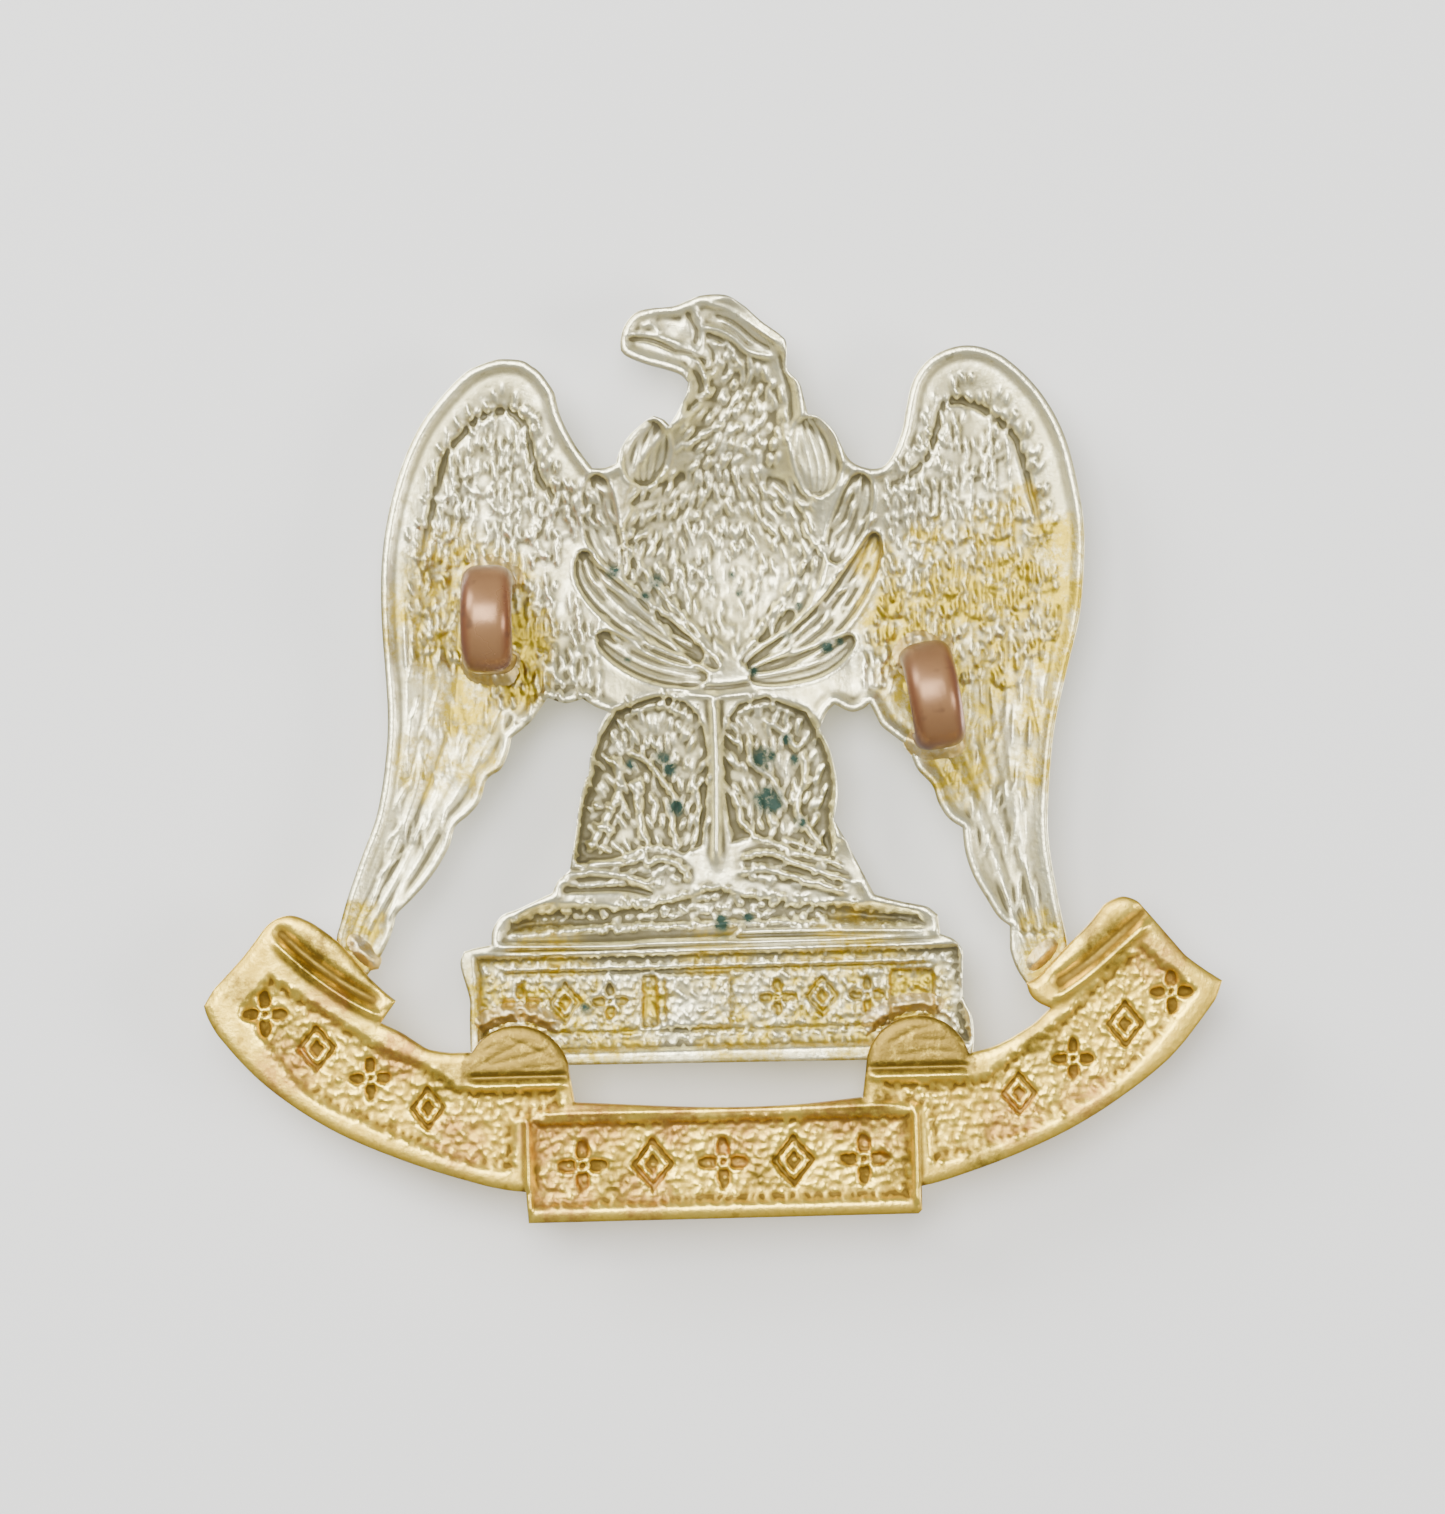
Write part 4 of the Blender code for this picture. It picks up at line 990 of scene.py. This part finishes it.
COPPER_BLOTS = [
    (-16.4, 9.0, 1.7, 0.9), (-6.5, 5.3, 2.2, 0.65), (-2.5, 5.3, 2.0, 0.6), (1.5, 5.3, 2.0, 0.55),
    (5.4, 5.4, 2.0, 0.5), (-9.0, 4.6, 2.0, 0.65), (-22.2, 8.4, 2.2, 0.45), (-8.2, 1.5, 2.2, 0.55),
    (-4.0, 1.5, 2.0, 0.45), (22.6, 12.9, 2.0, 0.45), (14.8, 5.0, 2.2, 0.45), (-13.5, 4.4, 2.2, 0.4),
    (18.6, 6.0, 2.0, 0.4), (-20.0, 11.6, 1.6, 0.5), (0.6, 4.2, 2.4, 0.4), (8.0, 4.4, 2.0, 0.4),
]
OLIVE_BLOTS = [
    (-20.6, 14.0, 2.0, 0.75), (-18.8, 12.4, 1.6, 0.65), (19.6, 13.9, 2.0, 0.65), (-11.2, 9.0, 1.8, 0.5),
    (10.5, 9.2, 1.6, 0.4), (6.6, 5.7, 2.6, 0.5), (-24.5, 12.6, 1.2, 0.5), (2.2, 2.6, 1.4, 0.5),
    (8.7, 2.8, 1.4, 0.5), (-22.0, 10.0, 1.4, 0.5), (13.2, 3.2, 1.6, 0.4), (-5.4, 2.4, 1.4, 0.4),
    (16.4, 8.6, 1.6, 0.4), (-14.0, 7.6, 1.4, 0.4),
]


def scroll_stains(at):
    """Copper-red and olive tarnish of the scroll. The tabs were never polished and are dull all over."""
    olive = blots(at, OLIVE_BLOTS)
    for middle in TAB_MIDDLES:
        on_tab = np.hypot(*(at - middle).T) < TAB_REACH + 0.2
        olive = np.maximum(olive, 1.05 * on_tab * ease((at[:, 1] - middle[1] + 0.3) / 0.3))
    return {"red": blots(at, COPPER_BLOTS), "olive": olive}


GILDING = (0.90, 0.65, 0.105)
GILDING_FILM = (0.67, 0.45, 0.058)
# Dark crevice colour of the gilding metal: partly dirt, partly painted shade.
GILDING_DIRT_AND_SHADE = (0.12, 0.065, 0.014)
OLIVE_TARNISH = (0.22, 0.145, 0.026)
COPPER_TARNISH = (0.44, 0.235, 0.055)
SCROLL_GRAIN = 0.020
SCROLL_SHEET = 0.7
SCROLL_PITCHES = (0.11, 0.2)

gilding_metal = struck_metal("gilding_metal", GILDING, GILDING_FILM, GILDING_DIRT_AND_SHADE, SCROLL_GRAIN,
                             [("olive", OLIVE_TARNISH, 0.42, 1.0), ("red", COPPER_TARNISH, 0.40, 1.0)])
scroll_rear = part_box("scroll")[0].y / MM
scroll = struck_sheet("scroll_stamping", SCROLL_RING, SCROLL_PITCHES, scroll_rear, scroll_sink,
                      SCROLL_SHEET, scroll_stains, gilding_metal)
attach(scroll, "root")
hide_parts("scroll")

# ---------------------------------------------------------------------------------------------
# Loops. Two short lengths of half-round copper strip, bent to an arch, stood on the backs of the
# wings and soldered. Their crowns are painted lighter, as lit, and their sides darker, as painted shade.

LOOP_WIDTH = 2.6
LOOP_SPAN = 5.5
STRIP_THICKNESS = 1.1
FOOT_BITE = 0.15
ARCH_STEPS = 40
LEG_STEPS = 6
SECTION_POINTS = 48
# Crown colours are painted light and side colours painted shade; new and dark are patches of tarnish.
LIT_CROWN_NEW, LIT_CROWN_DARK = (0.30, 0.155, 0.066), (0.22, 0.108, 0.045)
SHADED_SIDE_NEW, SHADED_SIDE_DARK = (0.20, 0.075, 0.032), (0.13, 0.052, 0.022)
COPPER_SPECK = (0.10, 0.05, 0.03)

copper = bpy.data.materials.new("copper")
copper.use_nodes = True
tree = copper.node_tree
shader = tree.nodes["Principled BSDF"]
grain = put(tree, "ShaderNodeGroup", {"node_tree": grain_group})
grain.inputs["Pore size"].default_value = 0.5
cloud = spread(tree, grain.outputs["Cloud"], 0.38, 0.64)
shaded_side_colour = blend_colours(tree, cloud, SHADED_SIDE_NEW, SHADED_SIDE_DARK)
lit_crown_colour = blend_colours(tree, cloud, LIT_CROWN_NEW, LIT_CROWN_DARK)
# The crown share picks the painted-light crown colour, and the rest gets the painted-shade side colour.
copper_colour = blend_colours(tree, kept_at_corners(tree, "crown"), shaded_side_colour, lit_crown_colour)
speckled = reckon(tree, "MULTIPLY", grain.outputs["Speck"], 0.5)
tree.links.new(blend_colours(tree, speckled, copper_colour, COPPER_SPECK), shader.inputs["Base Color"])
tree.links.new(reckon(tree, "MULTIPLY_ADD", cloud, 0.16, 0.27), shader.inputs["Roughness"])
shader.inputs["Metallic"].default_value = 0.45
bump = put(tree, "ShaderNodeBump", Height=grain.outputs["Height"], Distance=0.006 * MM)
tree.links.new(bump.outputs[0], shader.inputs["Normal"])


def loop_lie(node):
    """Middle of a loop and the directions along and across its strip, as (across, up)."""
    points = np.array([(v.co.x, v.co.z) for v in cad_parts[node].data.vertices]) / MM - (0, BASE_LINE)
    middle = (points.min(axis=0) + points.max(axis=0)) / 2
    along = np.linalg.eigh(np.cov((points - middle).T))[1][:, -1]
    along = along * math.copysign(1, along[1])
    return middle, along, np.array([along[1], -along[0]])


def half_round_section():
    """Section of the strip as (sideways, outwards): a low round crown over a flat underside."""
    section = []
    for turn in np.linspace(0, 2 * math.pi, SECTION_POINTS, endpoint=False):
        wide = math.copysign(abs(math.cos(turn)) ** 0.45, math.cos(turn))
        if math.sin(turn) > 0:
            thick = (1 - abs(wide) ** 3.4) ** 0.5 * 1.5 - 0.5
        else:
            thick = -0.5 - 0.5 * abs(math.sin(turn)) ** 0.3
        section.append((wide * LOOP_WIDTH / 2, thick * STRIP_THICKNESS / 2))
    return section


def bend_loop(name, node):
    """Sweeps the strip's section up one leg, over the arch and down the other leg."""
    middle, along, across = loop_lie(node)
    radius = (LOOP_SPAN - STRIP_THICKNESS) / 2
    spring_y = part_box(node)[0].y / MM + STRIP_THICKNESS / 2 + radius
    feet = [eagle_rear + float(eagle_sink([middle + end * radius * along])[0]) + FOOT_BITE
            for end in (-1, 1)]
    legs = [np.linspace(foot, spring_y, LEG_STEPS, endpoint=False) for foot in feet]
    path = [(-radius, y, (-1.0, 0.0)) for y in legs[0]]
    for angle in np.linspace(math.pi, 0, ARCH_STEPS + 1):
        outward = (math.cos(angle), math.sin(angle))
        path.append((radius * outward[0], spring_y - radius * outward[1], outward))
    path += [(radius, y, (1.0, 0.0)) for y in legs[1][::-1]]
    corners, faces, crown = [], [], []
    for u, y, outward in path:
        for sideways, out in half_round_section():
            x, up = middle + (u + out * outward[0]) * along + sideways * across
            corners.append((x * MM, (y - out * outward[1]) * MM, (up + BASE_LINE) * MM))
            # Crown share: the outer middle of the arch, which faces the lamps, gets the painted-light
            # colour.
            crown.append(ease((outward[1] - 0.2) / 0.6) * ease((1.12 - abs(sideways)) / 0.5) * (out > 0))
    for first in range(0, len(corners) - SECTION_POINTS, SECTION_POINTS):
        for i in range(SECTION_POINTS):
            a, b = first + i, first + (i + 1) % SECTION_POINTS
            faces.append((a, b, b + SECTION_POINTS, a + SECTION_POINTS))
    faces.append(tuple(range(SECTION_POINTS)))
    faces.append(tuple(len(corners) - 1 - i for i in range(SECTION_POINTS)))
    return add_piece(name, corners, faces, {"crown": crown}, copper)


for hand in ("left", "right"):
    loop = bend_loop(f"copper_loop_{hand}", f"loop_{hand}")
    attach(loop, "root")
    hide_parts(f"loop_{hand}")

# ---------------------------------------------------------------------------------------------
# Solder. Soft solder run round each foot of the loops, round both tabs and along both wing tips. It
# wets the sheet, so its edge is thin, and the flux has left it dull and yellow.

SOLDER_GROWTH = 0.35
SOLDER_THICKNESS = 0.25
SOLDER_PITCHES = (0.1, 0.1)
SOLDER_BITE = 0.05
WETTING = 0.8
FOOT_CROWN = 0.5
SEAM_CROWN = 0.4
SOLDER = (0.70, 0.64, 0.50)
SOLDER_FILM = (0.58, 0.46, 0.22)
# Dark crevice colour of the solder: partly dirt, partly painted shade.
SOLDER_DIRT_AND_SHADE = (0.14, 0.11, 0.06)
FLUX_ON_SOLDER = (0.60, 0.45, 0.16)
SOLDER_GRAIN = 0.03

solder_metal = struck_metal("solder_metal", SOLDER, SOLDER_FILM, SOLDER_DIRT_AND_SHADE, SOLDER_GRAIN,
                            [("flux", FLUX_ON_SOLDER, 0.45, 1.0)])


def foot_ring(hand, end):
    """Uneven oval of solder round one foot of a loop. end is 1 for the upper foot, -1 for the lower."""
    middle, along, across = loop_lie(f"loop_{hand}")
    foot = middle + end * (LOOP_SPAN - STRIP_THICKNESS) / 2 * along
    turns = np.linspace(0, 2 * math.pi, 60, endpoint=False)
    wobble = 1 + 0.05 * np.sin(3 * turns + 2 * end) + 0.04 * np.sin(5 * turns)
    beside, beyond = LOOP_WIDTH / 2 + 0.42, STRIP_THICKNESS / 2 + 0.75
    return (foot + np.outer(np.cos(turns) * wobble * beside, across)
            + np.outer(np.sin(turns) * wobble * beyond, along))


def run_solder(name, node, ring, crown):
    """Mound of solder over the sheet, highest in the middle and thin at its edge."""
    closed = np.vstack([ring, ring[:1]])

    def skin(at):
        return eagle_sink(at) - crown * ease(beside_line(at, closed)[0] / WETTING) + SOLDER_BITE

    made = struck_sheet(name, ring, SOLDER_PITCHES, eagle_rear, skin, SOLDER_THICKNESS,
                        lambda at: {"flux": 0.75 * np.ones(len(at))}, solder_metal)
    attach(made, "root")
    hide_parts(node)


for hand in ("left", "right"):
    for place, end in (("upper", 1), ("lower", -1)):
        run_solder(f"loop_solder_{hand}_{place}", f"solder_loop_{hand}_{place}", foot_ring(hand, end),
                   FOOT_CROWN)
    for seam in ("tab", "tip"):
        node = f"solder_{seam}_{hand}"
        outline = fair(outline_of(node), 0.3)
        grown = outline - SOLDER_GROWTH * inward_normals(outline)
        run_solder(f"{seam}_solder_{hand}", node, fair(grown, 0.15), SEAM_CROWN)

# ---------------------------------------------------------------------------------------------
# Stand, light and camera. The badge lies face down on a pale card, seen squarely from behind. The
# card can be seen from one side only, so that it never hides the face.

CARD_REACH = 0.6
CARD_GAP = 0.3 * MM
CARD_GREY = (0.80, 0.80, 0.79, 1.0)
card_y = cad_box[1].y + CARD_GAP
card_corners = [(x * CARD_REACH, card_y, up * CARD_REACH) for x, up in ((-1, -1), (1, -1), (1, 1), (-1, 1))]
card_mesh = bpy.data.meshes.new("card")
card_mesh.from_pydata(card_corners, [], [(0, 1, 2, 3)])
card = bpy.data.objects.new("card", card_mesh)
bpy.context.scene.collection.objects.link(card)
card_paint = bpy.data.materials.new("pale_card")
card_paint.use_nodes = True
tree = card_paint.node_tree
card_shader = tree.nodes["Principled BSDF"]
card_shader.inputs["Base Color"].default_value = CARD_GREY
card_shader.inputs["Roughness"].default_value = 0.9
card_shader.inputs["Specular IOR Level"].default_value = 0.0
seen_through = put(tree, "ShaderNodeBsdfTransparent")
which_side = put(tree, "ShaderNodeNewGeometry").outputs["Backfacing"]
one_sided = put(tree, "ShaderNodeMixShader", i0=which_side, i1=card_shader.outputs[0],
                i2=seen_through.outputs[0])
tree.links.new(one_sided.outputs[0], tree.nodes["Material Output"].inputs[0])
card_mesh.materials.append(card_paint)
card.visible_shadow = False
card.visible_glossy = False
card.visible_diffuse = False

SKY = (0.95, 0.95, 0.91, 1.0)
SKY_STRENGTH = 0.54
SEEN_SKY_STRENGTH = 0.95
world = bpy.data.worlds.new("studio")
world.use_nodes = True
bpy.context.scene.world = world
sky = world.node_tree.nodes["Background"]
sky.inputs["Color"].default_value = SKY
sky.inputs["Strength"].default_value = SKY_STRENGTH
seen_sky = put(world.node_tree, "ShaderNodeBackground", Color=CARD_GREY, Strength=SEEN_SKY_STRENGTH)
by_eye = put(world.node_tree, "ShaderNodeLightPath").outputs["Is Camera Ray"]
both = put(world.node_tree, "ShaderNodeMixShader", i0=by_eye, i1=sky.outputs[0], i2=seen_sky.outputs[0])
world.node_tree.links.new(both.outputs[0], world.node_tree.nodes["World Output"].inputs[0])

centre = (cad_box[0] + cad_box[1]) / 2


def soft_light(name, place, size, power, blue=1.0):
    """Square soft light that looks at the badge. Less blue makes it warmer."""
    lamp = bpy.data.lights.new(name, "AREA")
    lamp.shape = "SQUARE"
    lamp.size = size
    lamp.energy = power
    lamp.color = (1.0, (1.0 + blue) / 2, blue)
    stand = bpy.data.objects.new(name, lamp)
    stand.location = centre + Vector(place)
    stand.rotation_euler = Vector(place).to_track_quat("Z", "Y").to_euler()
    bpy.context.scene.collection.objects.link(stand)


soft_light("overhead_light", (-0.06, -0.42, 0.10), 0.26, 2.9)
soft_light("window_light", (-0.30, -0.24, 0.26), 0.22, 2.2)
soft_light("side_light", (0.34, -0.26, -0.06), 0.16, 0.9, 0.94)
soft_light("face_light", (-0.20, 0.36, 0.22), 0.26, 2.6)
soft_light("face_side_light", (0.34, 0.24, -0.04), 0.2, 1.2, 0.96)

# The eye is square to the back, and the badge lies turned a little to one side.
VIEW_DISTANCE = 0.25
VIEW_TALL = 77.49 * MM
ROLL = math.radians(1.45)
AIM = Vector((0.486 * MM, eagle_rear * MM, -5.06 * MM))
eye = bpy.data.cameras.new("camera")
eye.sensor_width = 36.0
eye.lens = eye.sensor_width * VIEW_DISTANCE / VIEW_TALL
camera = bpy.data.objects.new("camera", eye)
right = Vector((math.cos(ROLL), 0, -math.sin(ROLL)))
upward = Vector((math.sin(ROLL), 0, math.cos(ROLL)))
turned = Matrix((right, upward, Vector((0, -1, 0)))).transposed().to_4x4()
camera.matrix_world = Matrix.Translation(AIM + Vector((0, -VIEW_DISTANCE, 0))) @ turned
eye.clip_start = 0.01
bpy.context.scene.collection.objects.link(camera)
bpy.context.scene.camera = camera
